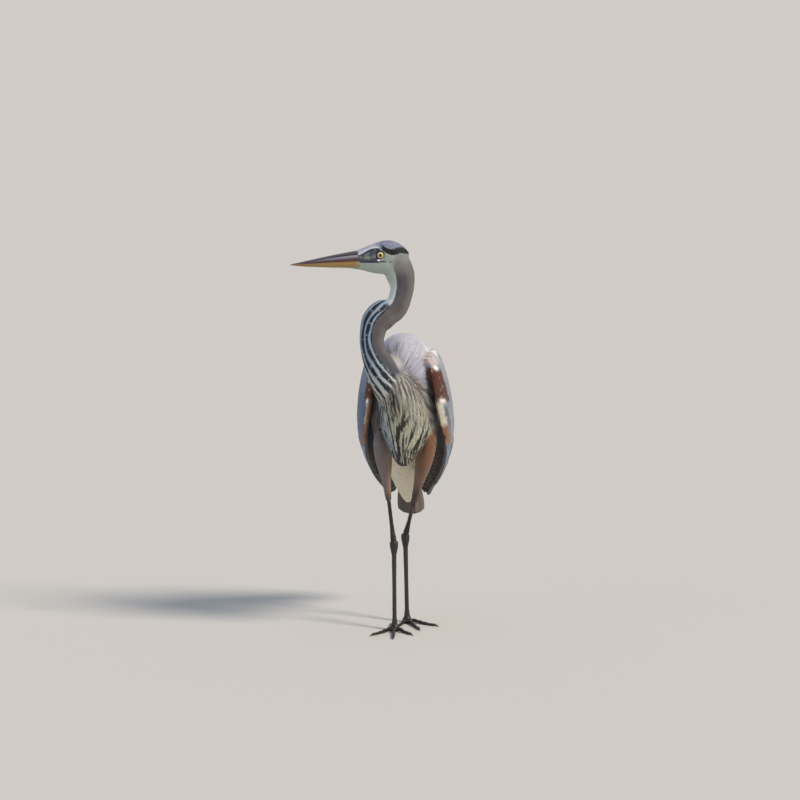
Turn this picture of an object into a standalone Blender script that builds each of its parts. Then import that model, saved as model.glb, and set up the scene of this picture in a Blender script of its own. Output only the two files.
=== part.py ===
"""Great blue heron, life size, standing with its head turned to its right.

Metres, +Z up. The origin is the sole of the right foot. The bird faces -Y, so that its right side is
at -X. The trunk, wings and tail are built round one sloping body axis; the neck and legs follow paths
of their own. Pieces that meet keep a gap of a few tenths of a millimetre.
"""

from math import copysign, cos, pi, radians, sin, sqrt, tau

import bmesh
import bpy
from mathutils import Matrix, Vector

# ---- Driving dimensions -------------------------------------------------------------------------------
GAP = 0.0005  # clearance between pieces that meet
WING_CLEARANCE = 0.0024  # from the trunk to the inside of a folded wing, before faceting
BODY_YAW = radians(2.2)  # the body points a little to the bird's own right
BODY_SLOPE = radians(47.6)  # the body axis falls this much towards the tail
SHOULDER = Vector((0.0180, -0.060, 0.560))  # the body axis at the shoulders, station 0
HEAD_PITCH = radians(5.0)  # the bill points a little down
HEAD_CENTRE = Vector((-0.0292, -0.140, 0.8135))  # midway between the eyes
EYE_RADIUS = 0.0088
EYE_SPREAD = 0.0118  # from the head's midplane to each eyeball's centre
TARSUS_LENGTH = 0.181
RIGHT_FOOT = Vector((0.0, 0.0, 0.0))
LEFT_FOOT = Vector((0.026, 0.088, 0.0))
RIGHT_ANKLE = RIGHT_FOOT + Vector((-0.0015, 0.012, TARSUS_LENGTH))
LEFT_ANKLE = LEFT_FOOT + Vector((-0.0040, 0.006, TARSUS_LENGTH))
RIGHT_KNEE = Vector((-0.0300, -0.035, 0.4300))  # under the body's feathers
LEFT_KNEE = Vector((0.0760, 0.004, 0.4200))
TOE_RADIUS = 0.0042
FOOT_TURN = {"left": 18, "right": 0}  # how far each foot turns out, degrees
TOE_ROOT = 0.0131  # from the middle of the sole to where a toe starts
TOE_SWELL = 0.10  # of its radius, at each joint
TOE_TAPER = 0.34  # of its radius, from root to claw
TOE_FLATTENING = 0.80  # the middle's height over the floor, in radii
TOE_ROOT_RISE = 0.0030  # how much higher a toe starts at the foot
CLAW_LENGTH = 0.013
CLAW_RADIUS = TOE_RADIUS * 0.58
CLAW_TIP_RADIUS = 0.00045
CLAW_HEIGHT = 0.0033  # of its root over the floor
CLAW_DROP = 0.0024  # from root to tip
SECTION_POWER = 2.15  # a trunk or wing section is a little squarer than an ellipse
WING_THICKNESS = 0.004  # at the edges of a folded wing
WING_FULLNESS = (0.024, 0.014)  # what the wing's middle adds to that, and how much less at the leading edge
WING_MIN = 0.003  # the least that a wing stands off the trunk's clearance
WING_OVER_TRUNK = 0.33  # behind this station the wings no longer lie on the trunk
WING_EDGE_DROP = 0.005  # how far a wing's edges dip under its round outside
TAIL_SWING = 0.006  # the tail's tip lies this far to the bird's left
TAIL_ARCH = 0.18  # how far the tail's edges hang, as a share of its half width
NECK_SPLITS = (0.0, 3.4, 7.6)  # fractional rows where a length of the neck begins
NECK_SLACK = 0.012  # rows left out at each end of a length, for clearance
BILL_TIP_HEIGHT = 0.0006  # the least height of either half of the bill

# Rows: station along the body axis, dorsal, ventral and side radius.
TRUNK_ROWS = (
    (-0.084, 0.006, 0.006, 0.006),
    (-0.075, 0.028, 0.022, 0.024),
    (-0.055, 0.050, 0.040, 0.040),
    (-0.030, 0.070, 0.056, 0.050),
    (0.000, 0.083, 0.066, 0.058),
    (0.060, 0.080, 0.072, 0.066),
    (0.120, 0.069, 0.075, 0.070),
    (0.180, 0.057, 0.072, 0.068),
    (0.240, 0.044, 0.066, 0.058),
    (0.300, 0.030, 0.056, 0.043),
    (0.360, 0.014, 0.047, 0.026),
    (0.395, 0.004, 0.040, 0.014),
    (0.410, -0.006, 0.034, 0.006),
)
# Rows: station, dorsal, ventral and side radius of the surface that the folded wings' outsides follow.
WING_ROWS = (
    (-0.053, 0.060, 0.052, 0.056),
    (-0.040, 0.072, 0.060, 0.065),
    (0.000, 0.094, 0.074, 0.079),
    (0.060, 0.093, 0.082, 0.090),
    (0.120, 0.083, 0.086, 0.097),
    (0.180, 0.071, 0.084, 0.100),
    (0.240, 0.059, 0.078, 0.097),
    (0.300, 0.046, 0.068, 0.088),
    (0.360, 0.036, 0.056, 0.072),
    (0.405, 0.026, 0.046, 0.054),
    (0.428, 0.020, 0.040, 0.046),
)
# Rows: station, angle from the back's midline of the wing's upper edge and of its leading edge, degrees.
WING_EDGES = (
    (-0.053, 90, 104),
    (-0.040, 73, 112),
    (0.000, 50, 119),
    (0.060, 32, 122),
    (0.120, 18, 120),
    (0.180, 9, 114),
    (0.240, 6, 107),
    (0.300, 7, 102),
    (0.360, 16, 98),
    (0.405, 42, 95),
    (0.428, 74, 91),
)
# Rows: x, y, z, half depth front to back, half width, and the angle the throat faces from -Y to -X.
NECK_ROWS = (
    (0.0160, -0.060, 0.485, 0.040, 0.040, 0),
    (-0.0060, -0.104, 0.528, 0.037, 0.036, 22),
    (-0.0270, -0.130, 0.5700, 0.0320, 0.0290, 46),
    (-0.0405, -0.143, 0.6040, 0.0265, 0.0220, 68),
    (-0.0466, -0.149, 0.6320, 0.0240, 0.0195, 84),
    (-0.0444, -0.150, 0.6560, 0.0258, 0.0195, 90),
    (-0.0375, -0.150, 0.6760, 0.0290, 0.0195, 90),
    (-0.0215, -0.148, 0.6895, 0.0300, 0.0195, 90),
    (-0.0040, -0.145, 0.6970, 0.0248, 0.0190, 90),
    (0.0070, -0.143, 0.7095, 0.0226, 0.0184, 90),
    (0.0130, -0.141, 0.7290, 0.0223, 0.0182, 90),
    (0.0155, -0.140, 0.7470, 0.0241, 0.0184, 90),
    (0.0120, -0.140, 0.7690, 0.0285, 0.0192, 90),
    (0.0040, -0.140, 0.7900, 0.0290, 0.0200, 90),
)
# Rows: distance in front of the eyes, height of the top and of the bottom, and half width.
HEAD_ROWS = (
    (-0.0570, -0.002, -0.012, 0.0050),
    (-0.0530, 0.0060, -0.022, 0.0110),
    (-0.0430, 0.0150, -0.034, 0.0170),
    (-0.0300, 0.0225, -0.041, 0.0202),
    (-0.0150, 0.0262, -0.043, 0.0206),
    (0.0000, 0.0245, -0.0410, 0.0188),
    (0.0180, 0.0200, -0.0375, 0.0158),
    (0.0320, 0.0152, -0.0325, 0.0130),
    (0.0450, 0.0118, -0.0280, 0.0110),
)
BILL_ROWS = (  # distance in front of the eyes, ridge, mouth line, keel, half width
    (0.0455, 0.0112, -0.0088, -0.0270, 0.0105),
    (0.0700, 0.0088, -0.0080, -0.0235, 0.0092),
    (0.0920, 0.0064, -0.0074, -0.0208, 0.0080),
    (0.1220, 0.0026, -0.0068, -0.0172, 0.0062),
    (0.1540, -0.0018, -0.0066, -0.0132, 0.0040),
    (0.1750, -0.0046, -0.0066, -0.0098, 0.0022),
    (0.1855, -0.0060, -0.0067, -0.0074, 0.0008),
)
# Rows: x, y, z, half width, half depth of the plumes that hang from the breast.
PLUME_ROWS = (
    (0.0020, -0.104, 0.560, 0.030, 0.040),
    (0.0070, -0.104, 0.532, 0.039, 0.046),
    (0.0130, -0.098, 0.502, 0.046, 0.048),
    (0.0190, -0.090, 0.470, 0.049, 0.047),
    (0.0220, -0.083, 0.440, 0.048, 0.043),
    (0.0230, -0.083, 0.415, 0.041, 0.033),
    (0.0210, -0.088, 0.393, 0.029, 0.021),
    (0.0185, -0.094, 0.375, 0.016, 0.011),
    (0.0175, -0.097, 0.367, 0.007, 0.005),
)
# Rows: station, height over the body axis, half width, half thickness.
TAIL_ROWS = (
    (0.275, 0.004, 0.016, 0.0080),
    (0.330, 0.003, 0.021, 0.0075),
    (0.390, 0.000, 0.027, 0.0060),
    (0.430, -0.003, 0.032, 0.0050),
    (0.465, -0.006, 0.036, 0.0040),
    (0.480, -0.0075, 0.032, 0.0034),
    (0.4865, -0.008, 0.020, 0.0028),
)
# Rows: share of the feathered length, half depth, half width of the feathered leg.
THIGH_ROWS = (
    (0.00, 0.008, 0.0050),
    (0.06, 0.020, 0.0120),
    (0.16, 0.026, 0.0160),
    (0.27, 0.028, 0.0175),
    (0.46, 0.024, 0.0160),
    (0.64, 0.0165, 0.0108),
    (0.80, 0.0100, 0.0070),
    (0.94, 0.0076, 0.0058),
    (1.00, 0.0062, 0.0050),
)
FEATHERED_TO = {"left": 0.70, "right": 0.62}  # share of the way from knee to ankle
# Rows: share of the bare length above the ankle, half depth, half width.
SHIN_ROWS = ((0.0, 0.0048, 0.0042), (0.60, 0.0048, 0.0042), (0.88, 0.0062, 0.0056), (1.0, 0.0078, 0.0068))
SHIN_STOP = 0.0095  # the shin ends this far short of the middle of the ankle
# Rows: share of the way from ankle to sole, half depth, half width of the bare leg below the ankle.
TARSUS_ROWS = (
    (-0.034, 0.0080, 0.0070),
    (-0.012, 0.0102, 0.0089),
    (0.02, 0.0103, 0.0090),
    (0.06, 0.0088, 0.0080),
    (0.13, 0.0062, 0.0052),
    (0.50, 0.0050, 0.0044),
    (0.84, 0.0050, 0.0046),
    (0.925, 0.0064, 0.0064),
    (0.965, 0.0098, 0.0098),
    (1.000, 0.0124, 0.0124),
)
# Toes: name, heading from straight ahead (outward is positive), length without claw, joints.
TOES = (
    ("middle", 0, 0.086, 3),
    ("outer", 36, 0.070, 4),
    ("inner", -35, 0.057, 2),
    ("hind", 168, 0.046, 1),
)

MATERIALS = {  # sRGB colour, roughness
    "plumage_grey": ((0.47, 0.50, 0.55), 0.80),
    "plumage_pale": ((0.78, 0.76, 0.68), 0.85),
    "plumage_neck": ((0.48, 0.45, 0.43), 0.85),
    "plumage_rufous": ((0.48, 0.31, 0.22), 0.85),
    "bill_dark": ((0.25, 0.24, 0.27), 0.40),
    "bill_yellow": ((0.72, 0.55, 0.25), 0.40),
    "eye": ((0.80, 0.74, 0.38), 0.08),
    "leg_skin": ((0.20, 0.16, 0.15), 0.55),
    "claw": ((0.10, 0.09, 0.09), 0.40),
}

FORWARD = Vector((-sin(BODY_YAW), -cos(BODY_YAW), 0.0))
BODY_SIDE = Vector((cos(BODY_YAW), -sin(BODY_YAW), 0.0))  # towards the bird's left
BODY_BACK = -FORWARD * cos(BODY_SLOPE) - Vector((0, 0, 1)) * sin(BODY_SLOPE)  # along the axis to the tail
BODY_DORSAL = BODY_SIDE.cross(BODY_BACK).normalized()
if BODY_DORSAL.z < 0:
    BODY_DORSAL = -BODY_DORSAL
HEAD_FORWARD = Vector((-cos(HEAD_PITCH), 0.0, -sin(HEAD_PITCH)))
HEAD_LEFT = Vector((0.0, -1.0, 0.0))
HEAD_UP = HEAD_FORWARD.cross(HEAD_LEFT).normalized()
UP = Vector((0.0, 0.0, 1.0))


# ---- Scene and materials ------------------------------------------------------------------------------
def clear_scene():
    """Removes what the file holds at the start."""
    for obj in list(bpy.data.objects):
        bpy.data.objects.remove(obj)


def make_collection(name):
    """A new collection under the scene's own."""
    made = bpy.data.collections.new(name)
    bpy.context.scene.collection.children.link(made)
    return made


def make_material(name, srgb, roughness):
    """A plain material of one colour."""
    material = bpy.data.materials.new(name)
    material.use_nodes = True
    shader = material.node_tree.nodes["Principled BSDF"]
    shader.inputs["Base Color"].default_value = (*(c**2.2 for c in srgb), 1.0)
    shader.inputs["Roughness"].default_value = roughness
    return material


# ---- Reading tables and paths smoothly ----------------------------------------------------------------
def blend_rows(rows, spot):
    """The row at a fractional index, on a smooth curve through the rows (Catmull-Rom)."""
    last = len(rows) - 1
    index = min(int(spot), last - 1)
    t = spot - index
    before, a, b, after = (rows[min(max(index + k, 0), last)] for k in (-1, 0, 1, 2))
    return tuple(
        0.5 * (2 * q + (r - p) * t + (2 * p - 5 * q + 4 * r - s) * t**2 + (3 * q - p - 3 * r + s) * t**3)
        for p, q, r, s in zip(before, a, b, after)
    )


def row_at(rows, key):
    """The row whose first number is key, between the rows of the table."""
    key = min(max(key, rows[0][0]), rows[-1][0])
    index = max(i for i, row in enumerate(rows[:-1]) if row[0] <= key)
    share = (key - rows[index][0]) / (rows[index + 1][0] - rows[index][0])
    return blend_rows(rows, index + share)[1:]


def steps(count):
    """count even steps from 0 to 1."""
    return [i / (count - 1) for i in range(count)]


# ---- Meshes -------------------------------------------------------------------------------------------
def ring(centre, side_axis, up_axis, side, up, down, count, power=2.0):
    """Points round a section that may be fuller above than below. A power over 2 makes it squarer."""
    points = []
    for corner in range(count):
        angle = tau * corner / count
        x = copysign(abs(cos(angle)) ** (2 / power), cos(angle)) * side
        y = copysign(abs(sin(angle)) ** (2 / power), sin(angle)) * (up if sin(angle) > 0 else down)
        points.append(centre + side_axis * x + up_axis * y)
    return points


def mesh_object(name, points, faces, material, collection):
    """An object from points and faces, its normals turned outwards."""
    mesh = bpy.data.meshes.new(name)
    mesh.from_pydata([tuple(p) for p in points], [], faces)
    bm = bmesh.new()
    bm.from_mesh(mesh)
    bmesh.ops.recalc_face_normals(bm, faces=bm.faces)
    bmesh.ops.triangulate(bm, faces=bm.faces)
    bm.to_mesh(mesh)
    bm.free()
    mesh.shade_smooth()
    mesh.set_sharp_from_angle(angle=radians(50))
    mesh.materials.append(material)
    obj = bpy.data.objects.new(name, mesh)
    collection.objects.link(obj)
    return obj


def loft(name, rings, material, collection):
    """A closed body through rings of equal counts, its ends closed by fans."""
    count = len(rings[0])
    points = [p for one in rings for p in one]
    faces = [
        (r * count + k, r * count + (k + 1) % count, (r + 1) * count + (k + 1) % count, (r + 1) * count + k)
        for r in range(len(rings) - 1)
        for k in range(count)
    ]
    for first in (0, (len(rings) - 1) * count):
        end = points[first : first + count]
        points.append(sum(end, Vector()) / count)
        faces += [(first + k, first + (k + 1) % count, len(points) - 1) for k in range(count)]
    return mesh_object(name, points, faces, material, collection)


def blanket(name, outer, inner, material, collection):
    """A closed shell between two grids of points of the same size."""
    rows, columns = len(outer), len(outer[0])
    points = [p for grid in (outer, inner) for line in grid for p in line]
    half = rows * columns
    faces = []
    for r in range(rows - 1):
        for c in range(columns - 1):
            a = r * columns + c
            quad = (a, a + 1, a + columns + 1, a + columns)
            faces += [quad, tuple(half + v for v in quad)]
    rim = list(range(columns))
    rim += [r * columns + columns - 1 for r in range(1, rows)]
    rim += [(rows - 1) * columns + c for c in range(columns - 2, -1, -1)]
    rim += [r * columns for r in range(rows - 2, 0, -1)]
    faces += [(a, b, half + b, half + a) for a, b in zip(rim, rim[1:] + rim[:1])]
    return mesh_object(name, points, faces, material, collection)


def cut(obj, *cutters):
    """Takes the cutters' shapes off an object, and applies the cut."""
    for cutter in cutters:
        modifier = obj.modifiers.new("Cut", "BOOLEAN")
        modifier.object = cutter
        modifier.operation = "DIFFERENCE"
    bpy.context.view_layer.update()
    graph = bpy.context.evaluated_depsgraph_get()
    made = bpy.data.meshes.new_from_object(obj.evaluated_get(graph))
    obj.modifiers.clear()
    obj.data = made
    return obj


def as_cutter(obj):
    """Marks an object as one that only cuts."""
    obj.hide_render = True
    obj.display_type = "WIRE"
    return obj


# ---- Trunk, wings, tail and breast ----------------------------------------------------------------------
def body_point(station, side=0.0, dorsal=0.0):
    """A point from its station along the body axis and its offsets from it."""
    return SHOULDER + BODY_BACK * station + BODY_SIDE * side + BODY_DORSAL * dorsal


def polar_radius(dorsal, ventral, side, angle):
    """Distance from the axis to a section's edge, at an angle from the back's midline."""
    vertical = dorsal if cos(angle) > 0 else ventral
    inverse = (abs(cos(angle)) / vertical) ** SECTION_POWER + (abs(sin(angle)) / side) ** SECTION_POWER
    return inverse ** (-1 / SECTION_POWER)


def trunk(name, grow, material, collection, rings=20, count=22):
    """The trunk from breast to undertail, or its cutter where grow is over 0."""
    first, last = TRUNK_ROWS[0][0], TRUNK_ROWS[-1][0]
    made = []
    for share in steps(rings):
        station = first + (last - first) * (1 - cos(pi * share)) / 2
        dorsal, ventral, side = row_at(TRUNK_ROWS, station)
        end = grow * (-1 if share == 0 else 1 if share == 1 else 0)
        centre = body_point(station + end, 0, (dorsal - ventral) / 2)
        height = (dorsal + ventral) / 2 + grow
        made.append(ring(centre, BODY_SIDE, BODY_DORSAL, side + grow, height, height, count, SECTION_POWER))
    return loft(name, made, material, collection)


def wing(name, hand, grow, material, collection, rows=17, columns=9):
    """A folded wing, hand +1 for the left and -1 for the right: a shell that hugs the trunk."""
    first, last = WING_EDGES[0][0], WING_EDGES[-1][0]
    outer, inner = [], []
    for share in steps(rows):
        station = first + (last - first) * share
        top, lead = (radians(a) for a in row_at(WING_EDGES, station))
        wide = row_at(WING_ROWS, station)
        body = row_at(TRUNK_ROWS, station)
        outer_line, inner_line = [], []
        for across in steps(columns):
            angle = top + (lead - top) * across
            roundness = sqrt(max(0.0, sin(pi * (0.04 + 0.92 * across)))) * min(1, 2.4 * (1.02 - share)) ** 0.7
            thick = WING_THICKNESS + roundness * (WING_FULLNESS[0] - WING_FULLNESS[1] * across)
            reach = polar_radius(*wide, angle) - WING_EDGE_DROP * (1 - sin(pi * across) ** 0.5)
            direction = BODY_SIDE * sin(angle) * hand + BODY_DORSAL * cos(angle)
            under = 0.0
            if station < WING_OVER_TRUNK:
                under = trunk_radius(body, angle) + WING_CLEARANCE
            outer_line.append(body_point(station) + direction * (max(reach, under + WING_MIN) + grow))
            inner_line.append(body_point(station) + direction * (max(reach - thick, under) - grow))
        outer.append(outer_line)
        inner.append(inner_line)
    return blanket(name, outer, inner, material, collection)


def trunk_radius(body, angle):
    """Distance from the body axis to the trunk's surface at an angle from the back's midline."""
    dorsal, ventral, side = body
    height, shift = (dorsal + ventral) / 2, (dorsal - ventral) / 2
    low, high = 0.0, 0.2
    for _ in range(24):
        middle = (low + high) / 2
        across, up = middle * sin(angle), middle * cos(angle) - shift
        inside = (abs(across) / side) ** SECTION_POWER + (abs(up) / height) ** SECTION_POWER < 1
        low, high = (middle, high) if inside else (low, middle)
    return high


def tail(name, grow, material, collection):
    """The folded tail, a flat blade a little arched across."""
    rings = []
    for share in steps(9):
        station = TAIL_ROWS[0][0] + (TAIL_ROWS[-1][0] - TAIL_ROWS[0][0]) * share
        height, wide, thick = row_at(TAIL_ROWS, station)
        middle = body_point(station, TAIL_SWING * share, height)
        flat = ring(middle, BODY_SIDE, BODY_DORSAL, wide + grow, thick + grow, thick + grow, 14, 2.6)
        arch = TAIL_ARCH * wide
        rings.append([p - BODY_DORSAL * arch * ((p - middle).dot(BODY_SIDE) / wide) ** 2 for p in flat])
    return loft(name, rings, material, collection)


def breast_plumes(name, grow, material, collection):
    """The long plumes of the breast, which hang to a rounded point in front of the legs."""
    rings = []
    for share in steps(13):
        x, y, z, wide, deep = blend_rows(PLUME_ROWS, share * (len(PLUME_ROWS) - 1))
        middle, depth = Vector((x, y, z)), deep + grow
        rings.append(ring(middle, BODY_SIDE, -FORWARD, wide + grow, depth, depth, 18, 2.2))
    return loft(name, rings, material, collection)


# ---- Neck and head --------------------------------------------------------------------------------------
def neck_frame(spot):
    """Centre, direction, throat direction, side direction and radii at a fractional row of the neck."""
    x, y, z, deep, wide, facing = blend_rows(NECK_ROWS, spot)
    last = len(NECK_ROWS) - 1
    ahead = Vector(blend_rows(NECK_ROWS, min(spot + 0.05, last))[:3])
    behind = Vector(blend_rows(NECK_ROWS, max(spot - 0.05, 0))[:3])
    along = (ahead - behind).normalized()
    throat = Vector((-sin(radians(facing)), -cos(radians(facing)), 0.0))
    throat = (throat - along * throat.dot(along)).normalized()
    return Vector((x, y, z)), along, throat, along.cross(throat), deep, wide


def neck(name, start, end, grow, material, collection, rings=11, count=16):
    """A length of the neck between two fractional rows."""
    made = []
    for share in steps(rings):
        centre, along, throat, side, deep, wide = neck_frame(start + (end - start) * share)
        shift = along * (grow * (-1 if share == 0 else 1 if share == 1 else 0))
        made.append(ring(centre + shift, side, throat, wide + grow, deep + grow, deep + grow, count))
    return loft(name, made, material, collection)


def head_point(front, left=0.0, up=0.0):
    """A point from its distances in front of, left of and above the middle of the eyes."""
    return HEAD_CENTRE + HEAD_FORWARD * front + HEAD_LEFT * left + HEAD_UP * up


def head(name, grow, material, collection):
    """The head without its bill, from nape to the feathers' edge at the bill."""
    rings = []
    for share in steps(13):
        front = HEAD_ROWS[0][0] + (HEAD_ROWS[-1][0] - HEAD_ROWS[0][0]) * share
        top, bottom, wide = row_at(HEAD_ROWS, front)
        reach = front - (grow if share == 0 else 0)
        middle, half = (top + bottom) / 2, (top - bottom) / 2 + grow
        centre = head_point(reach, 0, middle)
        rings.append(ring(centre, HEAD_LEFT, HEAD_UP, wide + grow, half, half, 18))
    return loft(name, rings, material, collection)


def bill_half(name, upper, material, collection):
    """The upper or lower half of the bill, flat where the two halves meet."""
    rings = []
    for share in steps(10):
        front = BILL_ROWS[0][0] + (BILL_ROWS[-1][0] - BILL_ROWS[0][0]) * share
        ridge, mouth, keel, wide = row_at(BILL_ROWS, front)
        height = ridge - mouth if upper else mouth - keel
        base = head_point(front, 0, mouth + (GAP / 2 if upper else -GAP / 2))
        rise = (HEAD_UP if upper else -HEAD_UP) * max(height, BILL_TIP_HEIGHT)
        arc = [pi * half for half in steps(9)]
        rings.append([base + HEAD_LEFT * wide * cos(angle) + rise * sin(angle) ** 0.9 for angle in arc])
    return loft(name, rings, material, collection)


def eye(name, hand, material, collection):
    """An eyeball, set in the side of the head."""
    bpy.ops.mesh.primitive_uv_sphere_add(segments=14, ring_count=8, radius=EYE_RADIUS)
    ball = bpy.context.object
    ball.name = ball.data.name = name
    for owner in list(ball.users_collection):
        owner.objects.unlink(ball)
    collection.objects.link(ball)
    ball.data.transform(Matrix.Translation(head_point(0, hand * EYE_SPREAD)))
    ball.data.materials.clear()
    ball.data.materials.append(material)
    ball.data.shade_smooth()
    return ball


# ---- Legs and feet --------------------------------------------------------------------------------------
def leg_ring(top, bottom, share, deep, wide, count):
    """A section of a leg at a share of the way from its top to its bottom, its depth front to back."""
    along = (bottom - top).normalized()
    side = (BODY_SIDE - along * BODY_SIDE.dot(along)).normalized()
    return ring(top + (bottom - top) * share, side, along.cross(side), wide, deep, deep, count)


def thigh(name, knee, ankle, feathered_to, material, collection):
    """The feathered part of a leg, from inside the body's feathers to the bare shin."""
    rings = []
    first, last = THIGH_ROWS[0][0], THIGH_ROWS[-1][0]
    for share in steps(11):
        spot = first + (last - first) * share
        deep, wide = row_at(THIGH_ROWS, spot)
        rings.append(leg_ring(knee, ankle, spot * feathered_to, deep, wide, 14))
    return loft(name, rings, material, collection)


def flattened(rings):
    """Rings with what lies under the floor brought up to it, which makes a flat sole."""
    return [[Vector((p.x, p.y, max(p.z, 0.0))) for p in one] for one in rings]


def shin(name, knee, ankle, bare_from, material, collection):
    """The bare end of the shin, from the feathers to the ankle."""
    rings = []
    bare_to = 1 - SHIN_STOP / (ankle - knee).length
    for share in steps(6):
        deep, wide = row_at(SHIN_ROWS, share)
        spot = bare_from + (bare_to - bare_from) * share
        rings.append(leg_ring(knee, ankle, spot, deep, wide, 10))
    return loft(name, rings, material, collection)


def tarsus(name, ankle, sole, material, collection):
    """The leg from the ankle down to a flat pad on the floor."""
    rings = []
    for spot, deep, wide in TARSUS_ROWS:
        rings.append(leg_ring(ankle, sole, spot, deep, wide, 10))
    rings[-1] = [Vector((p.x, p.y, 0.0)) for p in rings[-1]]
    return loft(name, flattened(rings), material, collection)


def toe_direction(hand, heading):
    """Where a toe points: outward headings turn away from the bird's midline."""
    angle = radians(heading) * hand
    return FORWARD * cos(angle) + BODY_SIDE * sin(angle)


def toe(name, sole, hand, heading, length, joints, material, collection):
    """A toe with a swelling at each joint, its underside flat on the floor."""
    direction = toe_direction(hand, heading)
    across = direction.cross(UP)
    rings = []
    for share in steps(3 * joints + 3):
        swell = 1 - TOE_SWELL * cos(tau * share * joints)
        radius = TOE_RADIUS * (1.0 - TOE_TAPER * share) * swell
        spot = sole + direction * (TOE_ROOT + (length - TOE_ROOT) * share)
        height = radius * TOE_FLATTENING + TOE_ROOT_RISE * (1 - share) ** 2
        rings.append(ring(spot + UP * height, across, UP, radius, radius, radius, 8))
    return loft(name, flattened(rings), material, collection)


def claw(name, sole, hand, heading, length, material, collection):
    """A claw that curves down from the end of its toe."""
    direction = toe_direction(hand, heading)
    across = direction.cross(UP)
    rings = []
    base = sole + direction * (length + GAP)
    for share in steps(5):
        radius = CLAW_RADIUS * (1 - share) ** 0.75 + CLAW_TIP_RADIUS
        height = CLAW_HEIGHT - CLAW_DROP * share**2
        middle = base + direction * CLAW_LENGTH * share + UP * height
        rings.append(ring(middle, across, UP, radius * 0.8, radius, radius, 6))
    return loft(name, flattened(rings), material, collection)


# ---- The bird -------------------------------------------------------------------------------------------
def build_body(paint, bird, cutters):
    """Trunk, neck, head, wings, tail and breast, each trimmed to its neighbours."""
    grey, pale = paint["plumage_grey"], paint["plumage_pale"]
    trunk("trunk", 0, pale, bird)
    trunk_cutter = as_cutter(trunk("cut_trunk", GAP, pale, cutters))
    head("head", 0, grey, bird)
    head_cutter = as_cutter(head("cut_head", GAP, grey, cutters))
    splits = (*NECK_SPLITS, len(NECK_ROWS) - 1)
    for label, start, end in zip(("lower", "middle", "upper"), splits, splits[1:]):
        first = start if label == "lower" else start + NECK_SLACK
        last = end if label == "upper" else end - NECK_SLACK
        length = neck(f"neck_{label}", first, last, 0, paint["plumage_neck"], bird)
        if label == "lower":
            cut(length, trunk_cutter)
        if label == "upper":
            cut(length, head_cutter)
    neck_cutter = as_cutter(neck("cut_neck", 0, splits[1] - NECK_SLACK, GAP, grey, cutters))
    plumes = breast_plumes("breast_plumes", 0, pale, bird)
    cut(plumes, trunk_cutter, neck_cutter)
    wing_cutters = []
    for label, hand in (("left", 1), ("right", -1)):
        wing(f"wing_{label}", hand, 0, grey, bird)
        wing_cutters.append(as_cutter(wing(f"cut_wing_{label}", hand, GAP, grey, cutters)))
    cut(tail("tail", 0, grey, bird), trunk_cutter, *wing_cutters)
    plume_cutter = as_cutter(breast_plumes("cut_plumes", GAP, pale, cutters))
    return trunk_cutter, plume_cutter, wing_cutters


def build_face(paint, bird, cutters):
    """Bill and eyes. The head is cut away round each eyeball."""
    bill_half("bill_upper", True, paint["bill_dark"], bird)
    bill_half("bill_lower", False, paint["bill_yellow"], bird)
    sockets = []
    for label, hand in (("left", 1), ("right", -1)):
        eye(f"eye_{label}", hand, paint["eye"], bird)
        socket = as_cutter(eye(f"cut_eye_{label}", hand, paint["eye"], cutters))
        socket.data.transform(Matrix.Translation(-head_point(0, hand * EYE_SPREAD)))
        socket.data.transform(Matrix.Scale(1 + GAP / EYE_RADIUS, 4))
        socket.data.transform(Matrix.Translation(head_point(0, hand * EYE_SPREAD)))
        sockets.append(socket)
    cut(bpy.data.objects["head"], *sockets)


def build_leg(label, hand, knee, ankle, sole, paint, bird, body_cutters):
    """A leg from the feathered thigh to the claws."""
    feathered_to = FEATHERED_TO[label]
    cut(thigh(f"thigh_{label}", knee, ankle, feathered_to, paint["plumage_rufous"], bird), *body_cutters)
    shin(f"shin_{label}", knee, ankle, feathered_to + GAP * 8, paint["leg_skin"], bird)
    tarsus(f"tarsus_{label}", ankle, sole, paint["leg_skin"], bird)
    for toe_name, heading, length, joints in TOES:
        heading += FOOT_TURN[label]
        name = f"{label}_{toe_name}"
        toe(f"toe_{name}", sole, hand, heading, length, joints, paint["leg_skin"], bird)
        claw(f"claw_{name}", sole, hand, heading, length, paint["claw"], bird)


def main():
    """Builds the heron."""
    clear_scene()
    bird, cutters = make_collection("great_blue_heron"), make_collection("cutters")
    cutters.hide_render = True
    paint = {name: make_material(name, *values) for name, values in MATERIALS.items()}
    trunk_cutter, plume_cutter, wing_cutters = build_body(paint, bird, cutters)
    build_face(paint, bird, cutters)
    body_cutters = (trunk_cutter, plume_cutter, *wing_cutters)
    build_leg("right", -1, RIGHT_KNEE, RIGHT_ANKLE, RIGHT_FOOT, paint, bird, body_cutters)
    build_leg("left", 1, LEFT_KNEE, LEFT_ANKLE, LEFT_FOOT, paint, bird, body_cutters)


main()
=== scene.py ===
"""Great blue heron, life size: one skin, feathers laid over it, and a made bill, eyes and bare legs.

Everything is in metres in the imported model's frame: +Z up, the body facing -Y, the bird's left at +X.
"""

import logging
import math
from dataclasses import dataclass, field
from enum import Enum
from typing import Callable, Optional, Sequence

import bmesh
import bpy
import numpy as np
from bpy.types import Material, Mesh, Node, NodeSocket, NodeTree, Object
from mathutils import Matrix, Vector
from mathutils.bvhtree import BVHTree
from mathutils.kdtree import KDTree

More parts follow.
